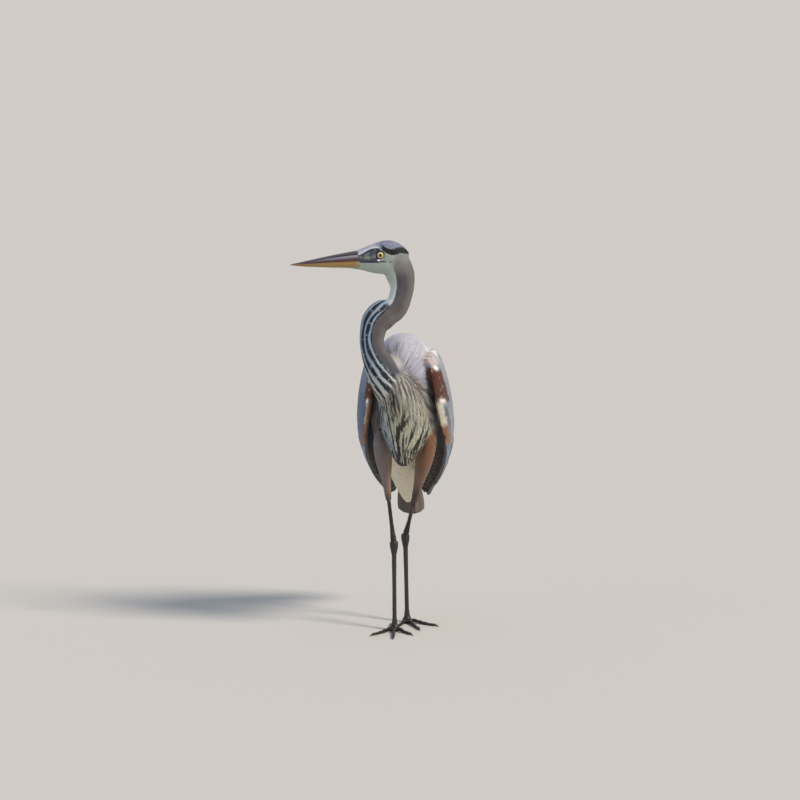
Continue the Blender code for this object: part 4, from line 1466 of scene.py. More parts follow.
def part_lie(anatomy: Anatomy, name: str, points: Array) -> Array:
    """Returns which way the coat lies on one body part."""
    if name in ("head", *BILL_NODES):
        return np.broadcast_to(-anatomy.head_ahead - 0.25 * anatomy.head_up, points.shape)
    if name in NECK_NODES:
        return anatomy.neck(points)[2]
    if name == "breast_plumes":
        tip = np.array((0.0175, -0.097, 0.340))
        spread = np.array((0.35, 0.0, -0.3)) * ramp(0.40, 0.50, points[:, 2])[:, None]
        return unit(unit(tip - points) + spread)
    if name.startswith("thigh"):
        low, high = extent(name.replace("thigh", "shin"))
        foot = (low + high) / 2
        foot[2] = low[2]
        return unit(foot - points)
    if name == "trunk":
        away = points - np.array((0.004, -0.105, 0.545))
        near = ramp(0.17, 0.07, np.linalg.norm(away, axis=1))
        return mix(np.broadcast_to(anatomy.body_back, points.shape), unit(away), near)
    return np.broadcast_to(anatomy.body_back, points.shape)


# ---- Bill, eyes and lids ----
def crossings(points: Array, faces: Array, along: Array, station: float) -> Array:
    """Returns the places where a solid's edges cross a plane.

    Args:
        points: the solid's points.
        faces: its triangles.
        along: each point's distance along the plane's normal.
        station: where the plane stands.

    Returns:
        Points on the solid's outline there.
    """
    pairs = edges_of(faces)
    first, second = along[pairs[:, 0]] - station, along[pairs[:, 1]] - station
    cut = (first < 0) != (second < 0)
    share = (first[cut] / (first[cut] - second[cut]))[:, None]
    return points[pairs[cut, 0]] * (1 - share) + points[pairs[cut, 1]] * share


def ring_faces(rings: int, corners: int) -> Array:
    """Nets rings of equal numbers of points into a closed tube with flat ends, as triangles."""
    grid = np.arange(rings * corners).reshape(rings, corners)
    a, b = grid[:-1], np.roll(grid[:-1], -1, axis=1)
    d, c = grid[1:], np.roll(grid[1:], -1, axis=1)
    walls = [np.stack([p.ravel() for p in trio], axis=1) for trio in ((a, b, c), (a, c, d))]
    fan = np.arange(1, corners - 1)
    first = np.stack([np.zeros_like(fan), fan + 1, fan], axis=1)
    last = (rings - 1) * corners + np.stack([np.zeros_like(fan), fan, fan + 1], axis=1)
    return np.vstack([*walls, first, last])


@dataclass
class Bill:
    """Both halves of the bill, lofted from the solids' own sections, with nostrils and a mouth line."""

    anatomy: Anatomy
    rings: int = 110
    arc: int = 45
    sunk: float = 3.0  # mm that the root goes on under the feathers
    groove_angle: float = 41.0
    groove: tuple[float, float] = (46.0, 118.0)
    nostril: tuple[float, float] = (50.0, 63.0)

    def build(self) -> None:
        """Builds and dresses both halves."""
        gloss = {"grain": 0.12, "grain_size": 0.9 * MM, "coat": 0.35, "coat_roughness": 0.18}
        horn = PaintedFinish("polished_bill_horn", 0.30, **gloss)
        for name, upper, slot in (("bill_upper", True, "bill_dark"), ("bill_lower", False, "bill_yellow")):
            settle(self.half(name, upper), horn.make(), (name,))

    def half(self, name: str, upper: bool) -> Object:
        """Lofts one half of the bill."""
        points, faces = read_mesh(self.anatomy.nodes[name].data)
        own = np.stack(self.anatomy.head(points), axis=1)
        low, high = own[:, 0].min() + 0.05, own[:, 0].max() - 0.05
        keys = np.linspace(low, high, 28)
        cuts = [crossings(own, faces, own[:, 0], key) for key in keys]
        wide = [cut[:, 1].max() for cut in cuts]
        top, bottom = [cut[:, 2].max() for cut in cuts], [cut[:, 2].min() for cut in cuts]
        where = np.concatenate([[low - self.sunk], np.linspace(low, high + 0.05, self.rings)])
        half = np.maximum(np.interp(where, keys, wide), 0.25)[:, None]
        top, bottom = np.interp(where, keys, top)[:, None], np.interp(where, keys, bottom)[:, None]
        turn = np.linspace(0, math.pi, self.arc)[None, :]
        degrees = np.degrees(np.minimum(turn, math.pi - turn))
        swell = np.sin(turn) ** 0.88
        rim, crown = (bottom, top) if upper else (top, bottom)
        left = half * np.cos(turn) * (1 - 0.05 * np.sin(turn * 2) ** 2)
        up = rim + (crown - rim) * swell
        ahead = np.broadcast_to(where[:, None], left.shape)
        if upper:
            cut = self.groove_depth(ahead, degrees)
            left = left - np.sign(np.cos(turn)) * cut * 0.85
            up = up - cut * 0.5
        grid = np.stack([ahead, left, up], axis=2)
        colours = self.upper_colour(ahead, degrees) if upper else self.lower_colour(ahead, degrees)
        axes = np.stack([self.anatomy.head_ahead, self.anatomy.head_left, self.anatomy.head_up])
        places = self.anatomy.head_centre + grid.reshape(-1, 3) @ axes * MM
        net = ring_faces(len(where), self.arc)
        piece = write_mesh(name + "_horn", places, net if upper else net[:, ::-1])
        paint(piece, colours.reshape(-1, 3))
        piece.data.set_sharp_from_angle(angle=math.radians(55))
        return piece

    def groove_depth(self, ahead: Array, degrees: Array) -> Array:
        """Depth in mm of the groove that runs on from each nostril, and of the nostril in it."""
        lane = bump(self.groove_angle, 5.0, degrees)
        (start, end), (back, front) = self.groove, self.nostril
        run = ramp(start, start + 6, ahead) * ramp(end, end - 40, ahead)
        slit = ramp(back - 2, back, ahead) * ramp(front + 3, front, ahead)
        return lane * (0.45 * run + 0.8 * slit)

    def upper_colour(self, ahead: Array, degrees: Array) -> Array:
        """Dark horn with a painted sheen on the ridge and sides, maroon above the mouth, black in the groove.
        """
        dark = bump(self.groove_angle, 4.2, degrees) * ramp(44, 50, ahead) * ramp(112, 84, ahead)
        return layered(
            linear("#48424a"),
            # painted sheen: greyer along the ridge and paler in a band below the groove
            (linear("#7d7a85"), ramp(62, 80, degrees)),
            (linear("#9a96a0"), 0.75 * bump(27, 9, degrees) * ramp(150, 70, ahead)),
            (linear("#43272c"), ramp(17, 9, degrees)),
            (linear("#7a6248"), 0.5 * ramp(150, 185, ahead)),
            (linear("#121113"), np.clip(1.3 * dark, 0, 1)),
        )

    def lower_colour(self, ahead: Array, degrees: Array) -> Array:
        """Yellow-orange horn, paler green-yellow at the root and darker along the mouth."""
        return layered(
            linear("#98773f"),
            (linear("#8f6f3f"), ramp(110, 180, ahead)),
            (linear("#a99358"), 0.6 * ramp(35, 80, degrees)),
            (Tone.CHIN, ramp(50, 64, degrees) * ramp(108, 84, ahead)),
            (linear("#9da079"), ramp(54, 42, ahead)),
            (linear("#6b3f2a"), 0.8 * ramp(9, 3, degrees)),
        )


@dataclass
class Eyes:
    """Both eyeballs under a clear wet film, each in a ring of bare lid."""

    anatomy: Anatomy
    iris: float = 6.5 * MM
    pupil: float = 2.95 * MM
    bulge: float = 0.35 * MM
    around: int = 56

    def build(self) -> None:
        """Builds and dresses both eyes and their lids."""
        wet = PaintedFinish("wet_cornea_over_iris", roughness=0.35, coat=0.45, coat_roughness=0.02, gloss=0.2)
        lid = PaintedFinish("bare_eyelid_skin", roughness=0.45, grain=0.5, grain_size=0.7 * MM)
        wet_material, lid_material = wet.make(), lid.make()
        for side, sign in SIDES.items():
            settle(self.ball(side, sign), wet_material, (f"eye_{side}",))
            settle(self.lid(side, sign), lid_material, (f"eye_{side}",))

    @property
    def turn(self) -> Array:
        """Angles round the gaze, as one row."""
        return np.linspace(0, 2 * math.pi, self.around, endpoint=False)[None, :]

    def shell(self, name: str, side: str, sign: float, tilt: Array, radius: Array) -> Object:
        """Turns angles from the gaze and radii into rings round one eye's middle."""
        anatomy, turn = self.anatomy, self.turn
        out = radius * np.cos(tilt)
        ahead, up = radius * np.sin(tilt) * np.cos(turn), radius * np.sin(tilt) * np.sin(turn)
        gaze = anatomy.head_left * sign
        grid = (
            out[..., None] * np.ones_like(turn)[..., None] * gaze
            + ahead[..., None] * anatomy.head_ahead
            + up[..., None] * anatomy.head_up
        )
        places = (anatomy.eyes[side] + grid).reshape(-1, 3)
        faces = ring_faces(len(tilt), self.around)
        return write_mesh(name, places, faces if sign > 0 else faces[:, ::-1])

    def ball(self, side: str, sign: float) -> Object:
        """Makes one eyeball with pupil, ringed iris and dark rim."""
        tilt = np.radians(np.concatenate([np.linspace(0.3, 60, 60), np.linspace(64, 179, 24)]))[:, None]
        radius = self.anatomy.eye_radius + self.bulge * ramp(0.95, 0.3, tilt)
        radius = radius.repeat(self.around, axis=1)
        piece = self.shell(f"eyeball_{side}", side, sign, tilt, radius)
        off = self.anatomy.eye_radius * np.sin(np.minimum(tilt, math.pi / 2)).repeat(self.around, axis=1)
        colour = layered(
            linear("#cbc07e"),
            (linear("#b9a658"), 0.5 * (0.5 + 0.5 * np.sin(self.turn * 28))),
            (linear("#b3a04f"), ramp(self.iris * 0.86, self.iris, off)),
            (linear("#8a7a3a"), ramp(self.pupil * 1.2, self.pupil, off)),
            (linear("#060607"), ramp(self.pupil + 0.12 * MM, self.pupil - 0.05 * MM, off)),
            (linear("#131418"), ramp(self.iris - 0.1 * MM, self.iris + 0.15 * MM, off)),
        )
        paint(piece, colour.reshape(-1, 3))
        return piece

    def lid(self, side: str, sign: float) -> Object:
        """Makes the ring of lids, drawn out a little towards both corners of the eye."""
        corner = np.abs(np.cos(self.turn)) ** 5
        steps = np.array((0.0, 0.04, 0.12, 0.24, 0.4, 0.6, 0.8, 1.0))[:, None]
        height = np.array((-0.6, 0.35, 0.75, 0.95, 0.9, 0.7, 0.2, -1.4))[:, None] * MM
        first, last = np.radians(45.5 + 4.5 * corner), np.radians(84.0)
        tilt = first + (last - first) * steps
        radius = self.anatomy.eye_radius + self.bulge * 0.6 + height
        piece = self.shell(f"eyelids_{side}", side, sign, tilt, np.broadcast_to(radius, tilt.shape))
        share = np.broadcast_to(steps, tilt.shape)
        behind = ramp(0.2, -0.2, np.cos(self.turn)) * ramp(-0.8, -0.2, np.sin(self.turn))
        pale = (linear("#c7ccc9"), behind * ramp(0.55, 0.75, share))
        colour = layered(linear("#14161a"), (linear("#39434c"), ramp(0.25, 0.5, share)), pale)
        paint(piece, colour.reshape(-1, 3))
        return piece


# ---- Flight feathers, tail and legs ----
FLIGHT_OUTLINE = (0.45, 0.72, 0.9, 0.98, 1.0, 1.0, 1.0, 1.0, 0.99, 0.97, 0.93, 0.86, 0.74, 0.55, 0.22)


def lay_slabs(
    flock: Flock,
    walk: Array,
    normals: Array,
    half: Array,
    outline: Sequence[float],
    colours: Array,
    roots: Array,
    camber: float = 0.10,
    tilt: float = 0.0,
    thick: float = 0.5 * MM,
) -> None:
    """Adds large feathers, each a thin solid with a curved section.

    Args:
        flock: where they go.
        walk: middle lines, by feather and station.
        normals: outward directions there.
        half: each feather's greatest half width.
        outline: half width at each station as a share of that.
        colours: colours by feather, station and column.
        roots: places on the bake map.
        camber: how far the vane's edges hang, as a share of the half width.
        tilt: turn of the vane about its shaft, in radians.
        thick: thickness at the shaft.
    """
    columns, count = colours.shape[2], len(walk)
    tangents = unit(np.gradient(walk, axis=1))
    normals = unit(square_to(normals, tangents))
    right = np.cross(tangents, normals)
    across = np.linspace(-1, 1, columns)
    size = half[:, None, None] * np.asarray(outline)[None, :, None]
    reach = size * across[None, None, :]
    drop = -camber * size * across**2 + np.sin(tilt) * reach
    top = walk[:, :, None] + right[:, :, None] * reach[..., None] + normals[:, :, None] * drop[..., None]
    shaft = np.exp(-((across / SHAFT_WIDTH) ** 2)) * SHAFT_HEIGHT * MM
    top = top + normals[:, :, None] * shaft[None, None, :, None]
    body = thick * (1 - 0.75 * np.abs(across))
    points, faces, vane, inner = slab_net(top, top - normals[:, :, None] * body[None, None, :, None])
    flat = colours.reshape(count, -1, 3)
    flock.add(points, faces, np.concatenate([flat, flat[:, inner]], axis=1), vane, roots)


def drape(anatomy: Anatomy, form: Form, station: Array, angle: Array) -> tuple[Array, Array]:
    """Drops body coordinates from outside onto the coat's form.

    Args:
        anatomy: the bird's coordinates.
        form: the surface.
        station: metres along the body.
        angle: degrees round it from the back, towards the bird's left.

    Returns:
        Places and outward directions, in the shape of the stations.
    """
    outside = anatomy.body_place(station, angle, np.full(station.shape, 0.2)).reshape(-1, 3)
    axis = anatomy.body_place(station, angle, np.zeros(station.shape)).reshape(-1, 3)
    places, normals = [], []
    for start, middle in zip(outside, axis):
        spot, _, face, _ = form.tree.ray_cast(Vector(start), Vector(middle - start).normalized())
        if spot is None:
            spot, _, face, _ = form.tree.find_nearest(Vector(start))
        places.append(spot)
        normals.append(form.normals[form.faces[face]].mean(axis=0))
    shape = (*station.shape, 3)
    return np.array(places).reshape(shape), unit(np.array(normals)).reshape(shape)


def wing_angle(sign: float, station: Array, share: Array) -> Array:
    """Degrees round the body at a share of the way from the wing's upper edge to its leading edge."""
    top = row_of(WING_STATIONS, WING_TOP, station)
    return sign * (top + (row_of(WING_STATIONS, WING_LEAD, station) - top) * share)


def wing_arc(station: float) -> float:
    """Degrees round the body from one edge of the wing to the other."""
    return float(wing_angle(1.0, station, 1.0) - wing_angle(1.0, station, 0.0))


def relax_line(walk: Array, rounds: int) -> Array:
    """Evens out middle lines of feathers without moving their ends."""
    for _ in range(rounds):
        walk = walk.copy()
        walk[:, 1:-1] = (walk[:, :-2] + 2 * walk[:, 1:-1] + walk[:, 2:]) / 4
    return walk


@dataclass
class WingCoverts:
    """Rows of coverts over the front of each folded wing, from the wrist back to the flight feathers."""

    anatomy: Anatomy
    form: Form
    markings: Markings
    first: float = -0.046
    last: float = 0.185
    radius: float = 0.088  # from the body's axis out to the coverts
    columns: int = 5
    outline: tuple[float, ...] = (0.5, 0.8, 0.97, 1.0, 0.92, 0.74, 0.48, 0.12)

    def build(self) -> None:
        """Builds both wings' coverts."""
        finish = FeatherFinish("wing_covert_feathers", barbs=22, shaft=0.22, contrast=0.08).make()
        for side, sign in SIDES.items():
            settle(self.wing(side, sign), finish, (f"wing_{side}",))

    def wing(self, side: str, sign: float) -> Object:
        """Lays one wing's coverts row by row."""
        rng = np.random.default_rng(211)
        flock = Flock()
        along = np.sin(np.linspace(0, math.pi / 2, len(self.outline)))
        row_start, odd = self.first, 0.0
        while row_start < self.last:
            step = float(row_of((-0.05, 0.05, 0.12, 0.2), (0.0050, 0.0065, 0.0095, 0.014), row_start))
            width = 0.9 * step
            lanes = max(int(math.radians(abs(wing_arc(row_start))) * self.radius / width), 3)
            share = (np.arange(lanes) + 0.25 + odd) / lanes + rng.normal(0, 0.12, lanes) / lanes
            share = np.clip(share, 0.01, 0.985)
            start = row_start + rng.normal(0, 0.10 * step, lanes)
            length = 4.2 * step * rng.uniform(0.88, 1.12, lanes)
            station = start[:, None] + length[:, None] * along
            lane = np.broadcast_to(share[:, None], station.shape)
            places, normals = drape(self.anatomy, self.form, station, wing_angle(sign, station, lane))
            height = (0.75 - 2.1 * (1 - along) ** 1.3)[None, :] * np.ones((lanes, 1))
            walk = places + normals * (height * MM)[..., None]
            half = np.full(lanes, 0.78 * width)
            colours = self.colours(walk, normals, half, rng)
            level = 0.05 + 0.9 * (row_start + 0.05) / 0.3
            roots = np.stack([0.05 + 0.9 * share, np.full(lanes, level)], axis=1)
            tilt = -sign * math.radians(2.5)
            lay_slabs(flock, walk, normals, half, self.outline, colours, roots, 0.08, tilt, 0.16 * MM)
            row_start += step
            odd = 0.5 - odd
        return flock.piece(f"wing_coverts_{side}", 50)

    def colours(self, walk: Array, normals: Array, half: Array, rng: np.random.Generator) -> Array:
        """Colours of a row by feather, station and column, each feather a little paler at its rim."""
        right = np.cross(unit(np.gradient(walk, axis=1)), normals)
        across = np.linspace(-1, 1, self.columns)
        spots = walk[:, :, None] + right[:, :, None] * (half[:, None, None] * across)[..., None]
        base = self.markings.wing(spots.reshape(-1, 3)).reshape(spots.shape)
        tone = np.exp(rng.normal(0, 0.035, len(walk)))[:, None, None, None]
        tip = ramp(6, 7, np.arange(walk.shape[1]))[:, None]
        rim = np.maximum(ramp(0.6, 1.0, np.abs(across))[None, :], tip)
        return base * tone * (1 + 0.05 * rim)[None, :, :, None]


@dataclass
class Scapulars:
    """Long lance-shaped plumes that fall from the shoulders over the wings' upper edges."""

    anatomy: Anatomy
    form: Form
    count: int = 64
    columns: int = 5
    outline: tuple[float, ...] = (0.12, 0.5, 0.85, 1.0, 1.0, 0.95, 0.85, 0.72, 0.55, 0.35, 0.06)

    def build(self) -> None:
        """Lays the plumes in order from the back ones to the front ones."""
        rng = np.random.default_rng(307)
        order = np.arange(self.count)
        start = 0.14 - 0.14 * order / self.count + rng.normal(0, 0.004, self.count)
        turn = (order * 0.618) % 1.0 * 2 - 1
        angle = turn * row_of((-0.03, 0.05, 0.15), (62, 48, 34), start)
        length = rng.uniform(0.085, 0.125, self.count) * (1 - 0.15 * np.abs(turn))
        along = np.linspace(0, 1, len(self.outline))
        station = start[:, None] + length[:, None] * along
        lane = angle[:, None] * (1 - 0.18 * along)
        places, normals = drape(self.anatomy, self.form, station, lane)
        height = (-3.5 + 5.0 * ramp(0, 0.35, along))[None, :] + 0.015 * order[:, None]
        walk = relax_line(places + normals * (height * MM)[..., None], 6)
        blue = rng.uniform(0.1, 0.6, self.count)[:, None] * ramp(0.1, 0.5, along)
        base = mix(Tone.MANTLE, Tone.WING_BLUE, blue)
        colours = np.repeat(base[:, :, None], self.columns, axis=2)
        rim = ramp(0.4, 1.0, np.abs(np.linspace(-1, 1, self.columns)))
        colours *= (0.92 + 0.16 * rim)[None, None, :, None]
        half = rng.uniform(0.0036, 0.0052, self.count)
        roots = np.stack([0.5 + 0.4 * turn, 0.1 + 0.8 * (start + 0.02) / 0.15], axis=1)
        flock = Flock()
        roots = np.clip(roots, 0.02, 0.98)
        lay_slabs(flock, walk, normals, half, self.outline, colours, roots, 0.2, thick=0.3 * MM)
        finish = FeatherFinish("scapular_plumes", barbs=80, shaft=0.15, contrast=0.10)
        settle(flock.piece("scapular_plumes", 60), finish.make(), ("trunk",))


@dataclass
class FlightFeathers:
    """The folded wing's long feathers: tertials over secondaries over the dark primaries."""

    anatomy: Anatomy
    form: Form
    count: int = 17
    columns: int = 9
    start: float = 0.115
    inner_end: float = 0.414
    outer_end: float = 0.437
    radius: float = 0.097  # from the body's axis out to the feathers
    arc_station: float = 0.24  # where the wing's width sets theirs

    def build(self) -> None:
        """Builds both wings' long feathers."""
        finish = FeatherFinish("flight_feathers", barbs=170, shaft=0.4, contrast=0.10, roughness=0.55).make()
        for side, sign in SIDES.items():
            settle(self.wing(side, sign), finish, (f"wing_{side}",))

    def wing(self, side: str, sign: float) -> Object:
        """Lays one wing's long feathers in order from the back to the leading edge."""
        rng = np.random.default_rng(401)
        stations = len(FLIGHT_OUTLINE)
        order = np.arange(self.count)
        share = (order + 0.5) / self.count
        end = self.inner_end + (self.outer_end - self.inner_end) * ramp(0.05, 0.95, share) ** 0.8
        end = end + rng.uniform(-0.005, 0.005, self.count)
        start = self.start + 0.02 * share
        along = np.linspace(0, 1, stations)
        station = start[:, None] + (end - start)[:, None] * along
        lane = np.broadcast_to(share[:, None], station.shape) * 0.97 + 0.015
        places, normals = drape(self.anatomy, self.form, station, wing_angle(sign, station, lane))
        arc = math.radians(wing_arc(self.arc_station)) * self.radius
        height = (-3.0 + 4.3 * ramp(0.0, 0.30, along))[None, :] - 0.05 * order[:, None]
        walk = relax_line(places + normals * (height * MM)[..., None], 3)
        half = np.full(self.count, arc / self.count * 0.90)
        grey = mix(Tone.WING, Tone.WING_BLUE, rng.random(self.count))
        primary = ramp(0.76, 0.82, share) * (order < self.count - 1)
        base = mix(grey, Tone.WING_DARK, 0.9 * primary)
        colours = np.broadcast_to(base[:, None, None], (self.count, stations, self.columns, 3)).copy()
        tone = np.linspace(0, 1, self.columns)
        outer_edge = np.broadcast_to(tone if sign > 0 else 1 - tone, colours.shape[:3])
        paler = 0.4 * ramp(0.8, 1.0, outer_edge) * (1 - primary)[:, None, None]
        # darker towards the overlapped side: partly painted shadow in the gaps between feathers, partly their
        # darker inner webs
        colours = layered(
            colours, (Tone.WING_DARK, 0.55 * ramp(0.5, 0.1, outer_edge)), (Tone.MANTLE, paler)
        )
        flock = Flock()
        roots = np.stack([share * 0.9 + 0.05, 0.05 + 0.9 * (start - start.min()) / np.ptp(start)], axis=1)
        lay_slabs(flock, walk, normals, half, FLIGHT_OUTLINE, colours, roots, 0.06, -sign * math.radians(6))
        return flock.piece(f"flight_feathers_{side}", 60)


@dataclass
class Tail:
    """Twelve tail feathers stacked like a closed fan, the middle pair on top."""

    anatomy: Anatomy
    count: int = 12
    columns: int = 9
    start: float = 0.25
    half: float = 0.0145
    step: float = 0.6 * MM  # from one feather down to the next

    def build(self) -> None:
        """Builds the tail from the tail solid's own extent."""
        points, faces = read_mesh(self.anatomy.nodes["tail"].data)
        shoulder = np.array(self.anatomy.shoulder)
        axes = (self.anatomy.body_back, self.anatomy.body_left, self.anatomy.body_top)
        own = np.stack([(points - shoulder) @ axis for axis in axes], axis=1)
        end = own[:, 0].max()
        keys = np.linspace(own[:, 0].min() + 1e-4, end - 1e-4, 12)
        cuts = [crossings(own, faces, own[:, 0], key) for key in keys]
        left, right = (np.array([side(cut[:, 1]) for cut in cuts]) for side in (np.max, np.min))
        top = np.array([cut[:, 2].max() for cut in cuts])
        stations = len(FLIGHT_OUTLINE)
        order = np.arange(self.count) - (self.count - 1) / 2
        spread = order / order.max()
        along = np.linspace(0, 1, stations)
        reach = end - 0.0005 - 0.012 * spread**2
        station = self.start + (reach - self.start)[:, None] * along
        middle = np.interp(station, keys, (left + right) / 2)
        room = np.maximum(np.interp(station, keys, (left - right) / 2) - self.half * 0.95, 0.002)
        fan = 0.35 + 0.65 * along
        rank = np.abs(order)[:, None] - 0.5 + 0.5 * (order > 0)[:, None]
        height = np.interp(station, keys, top) - rank * self.step * fan - 0.25 * room * spread[:, None] ** 2
        parts = (station, middle + spread[:, None] * room * fan, height)
        walk = shoulder + sum(part[..., None] * axis for part, axis in zip(parts, axes))
        hang = np.radians(14) * spread[:, None, None]
        normals = self.anatomy.body_top * np.cos(hang) + self.anatomy.body_left * np.sin(hang)
        normals = np.broadcast_to(normals, walk.shape).copy()
        tone = np.exp(np.random.default_rng(77).normal(0, 0.05, self.count))
        colours = np.ones((self.count, stations, self.columns, 3)) * np.asarray(Tone.TAIL)
        edge = np.broadcast_to(np.abs(np.linspace(-1, 1, self.columns)), colours.shape[:3])
        colours = layered(
            colours * tone[:, None, None, None],
            (Tone.TAIL_BROWN, np.where(order > 4, 0.8, 0.0)[:, None, None]),
            (Tone.TAIL_OLIVE, 0.8 * ramp(-1.0, -3.5, order)[:, None, None]),
            (Tone.WING_DARK, 0.35 * (1 - edge)),
        )
        flock = Flock()
        roots = np.stack([0.05 + 0.9 * (spread + 1) / 2, 0.5 + 0.45 * np.cos(order * 3)], axis=1)
        lay_slabs(flock, walk, normals, np.full(self.count, self.half), FLIGHT_OUTLINE, colours, roots, 0.06)
        finish = FeatherFinish("tail_feathers", barbs=130, shaft=0.4, contrast=0.10, roughness=0.6)
        settle(flock.piece("tail_feathers", 60), finish.make(), ("tail",))


@dataclass
class LegScales:
    """Horny plates down the front of each leg and along the toes, with small scales between them."""

    anatomy: Anatomy
    voxel: float = 1.1 * MM
    pitch: float = 4.6 * MM
    toe_pitch: float = 3.0 * MM
    wrap: float = 62.0
    columns: int = 9
    growth: float = 0.7 * MM  # enough to close the gaps between a leg's solids
    plate_depth: float = 0.35  # mm
    scale_outline: tuple[float, ...] = (0.85, 1.0, 0.8, 0.0)
    scale_gap: float = 1.75 * MM
    scale_length: float = 2.5 * MM
    scale_half: float = 1.15  # mm
    sole: float = 0.05 * MM  # the lowest that a scale reaches above the floor

    def build(self) -> None:
        """Builds both legs."""
        horn = PaintedFinish("horny_leg_scales", roughness=0.42, grain=0.25, grain_size=0.6 * MM)
        material = horn.make()
        for side in SIDES:
            names = (f"shin_{side}", f"tarsus_{side}", *(f"toe_{side}_{toe}" for toe in TOE_NAMES))
            form = Form.around(self.anatomy.nodes, names, self.growth, self.voxel, 3, spread=2)
            form.points = form.points - form.normals * (self.growth - 0.05 * MM)
            form.refresh()
            flock = Flock()
            self.plates(flock, form, side)
            self.small_scales(flock, form, side)
            settle(flock.piece(f"leg_scales_{side}", 40), material, names)

    def tone(self, places: Array, side: str) -> Array:
        """Dark brown legs, with a tan edge on the bird's left above the ankle and paler soles."""
        left = places[..., 0] - middle_of(f"shin_{side}")[0]
        above = places[..., 2] - extent(f"tarsus_{side}")[1][2]
        edge = ramp(0.001, 0.006, left) * ramp(-0.005, 0.03, above)
        sole = ramp(0.004, 0.0015, places[..., 2])
        return layered(Tone.SHANK, (Tone.SHANK_EDGE, 0.5 * edge), (Tone.SOLE, 0.8 * sole))

    def plates(self, flock: Flock, form: Form, side: str) -> None:
        """Lays the row of wide plates down the front of the tarsus and along each toe."""
        low, high = extent(f"tarsus_{side}")
        points, _ = read_mesh(self.anatomy.nodes[f"tarsus_{side}"].data)
        top = points[points[:, 2] > high[2] - 0.02].mean(axis=0)
        foot = points[points[:, 2] < low[2] + 0.012].mean(axis=0)
        self.row(flock, form, side, top, foot + (0, 0, 0.012), np.array((0.0, -1.0, 0.0)), self.pitch)
        for toe in TOE_NAMES:
            own, _ = read_mesh(self.anatomy.nodes[f"toe_{side}_{toe}"].data)
            gaps = np.linalg.norm((own - foot)[:, :2], axis=1)
            root = own[gaps < gaps.min() + 0.006].mean(axis=0)
            tip = own[gaps > gaps.max() - 0.004].mean(axis=0)
            self.row(flock, form, side, root, tip, np.array((0.0, 0.0, 1.0)), self.toe_pitch)

    def row(
        self, flock: Flock, form: Form, side: str, start: Array, end: Array, face: Array, pitch: float
    ) -> None:
        """Lays one row of overlapping plates along a line, wrapped round the side that faces one way."""
        axis = unit(end - start)
        face = unit(face - face @ axis * axis)
        length = float(np.linalg.norm(end - start))
        count = max(int(length / pitch), 2)
        turn = np.radians(np.linspace(-self.wrap, self.wrap, self.columns))
        out = np.cos(turn)[:, None] * face + np.sin(turn)[:, None] * np.cross(axis, face)
        steps = np.array((0.0, 0.25, 0.6, 0.95, 1.2, 1.32))
        lifts = np.array((-0.25, 0.05, 0.18, 0.30, 0.30, -0.1)) * MM
        rim = np.array((-0.3, 0.0, 0, 0, 0, 0, 0, 0.0, -0.3)) * MM
        plates = np.empty((count, len(steps), self.columns, 3))
        for index, k, j in np.ndindex(plates.shape[:3]):
            middle = start + axis * (index + steps[k]) * length / count
            spot = form.tree.ray_cast(Vector(middle), Vector(out[j]), 0.03)[0]
            spot = middle + out[j] * 0.004 if spot is None else np.array(spot)
            plates[index, k, j] = spot + out[j] * (lifts[k] + rim[j])
        points, faces, vane, _ = slab_net(plates, plates - out[None, None] * self.plate_depth * MM)
        points[..., 2] = np.maximum(points[..., 2], self.sole)
        colours = self.tone(points, side) * (1 - 0.35 * bump(0.0, 0.2, vane[:, 1]))[None, :, None]
        roots = np.stack([np.full(count, 0.5), np.linspace(0.05, 0.95, count)], axis=1)
        flock.add(points, faces, colours, vane, roots)

    def small_scales(self, flock: Flock, form: Form, side: str) -> None:
        """Scatters small overlapping scales over the rest of the leg."""
        rng = np.random.default_rng(53)
        down = np.broadcast_to((0.0, 0.0, -1.0), form.points.shape).copy()
        foot = form.points[form.points[:, 2] < 0.006].mean(axis=0)
        toes = form.points[:, 2] < 0.016
        down[toes] = (form.points[toes] - foot) * (1, 1, 0)
        form.set_lie(down, 4)
        plumage = Plumage(form, Markings(self.anatomy, form.parts), self.anatomy)
        found = form.scatter(np.ones(len(form.faces)), np.full(len(form.points), self.scale_gap), rng)
        roots, along = found[0], np.linspace(0, 1, len(self.scale_outline))
        count = len(roots)
        walk, normals, _ = plumage.follow(found, np.full(count, self.scale_length), along, np.zeros(count))
        walk = walk + normals * ((-0.32 + 0.30 * along) * MM)[None, :, None]
        right = np.cross(unit(np.gradient(walk, axis=1)), normals)
        reach = np.array(self.scale_outline)[None, :, None] * self.scale_half * MM
        points, faces, vane = vane_net(walk, right * reach, walk + normals * 0.16 * MM, along)
        points[..., 2] = np.maximum(points[..., 2], self.sole)
        shade = np.exp(rng.normal(0, 0.07, count))[:, None, None] * (0.8 + 0.2 * vane[:, 1])[None, :, None]
        places = np.stack([np.arctan2(roots[:, 0] - foot[0], foot[1] - roots[:, 1]), roots[:, 2]], axis=1)
        flock.add(points, faces, self.tone(points, side) * shade, vane, spread_roots(places))


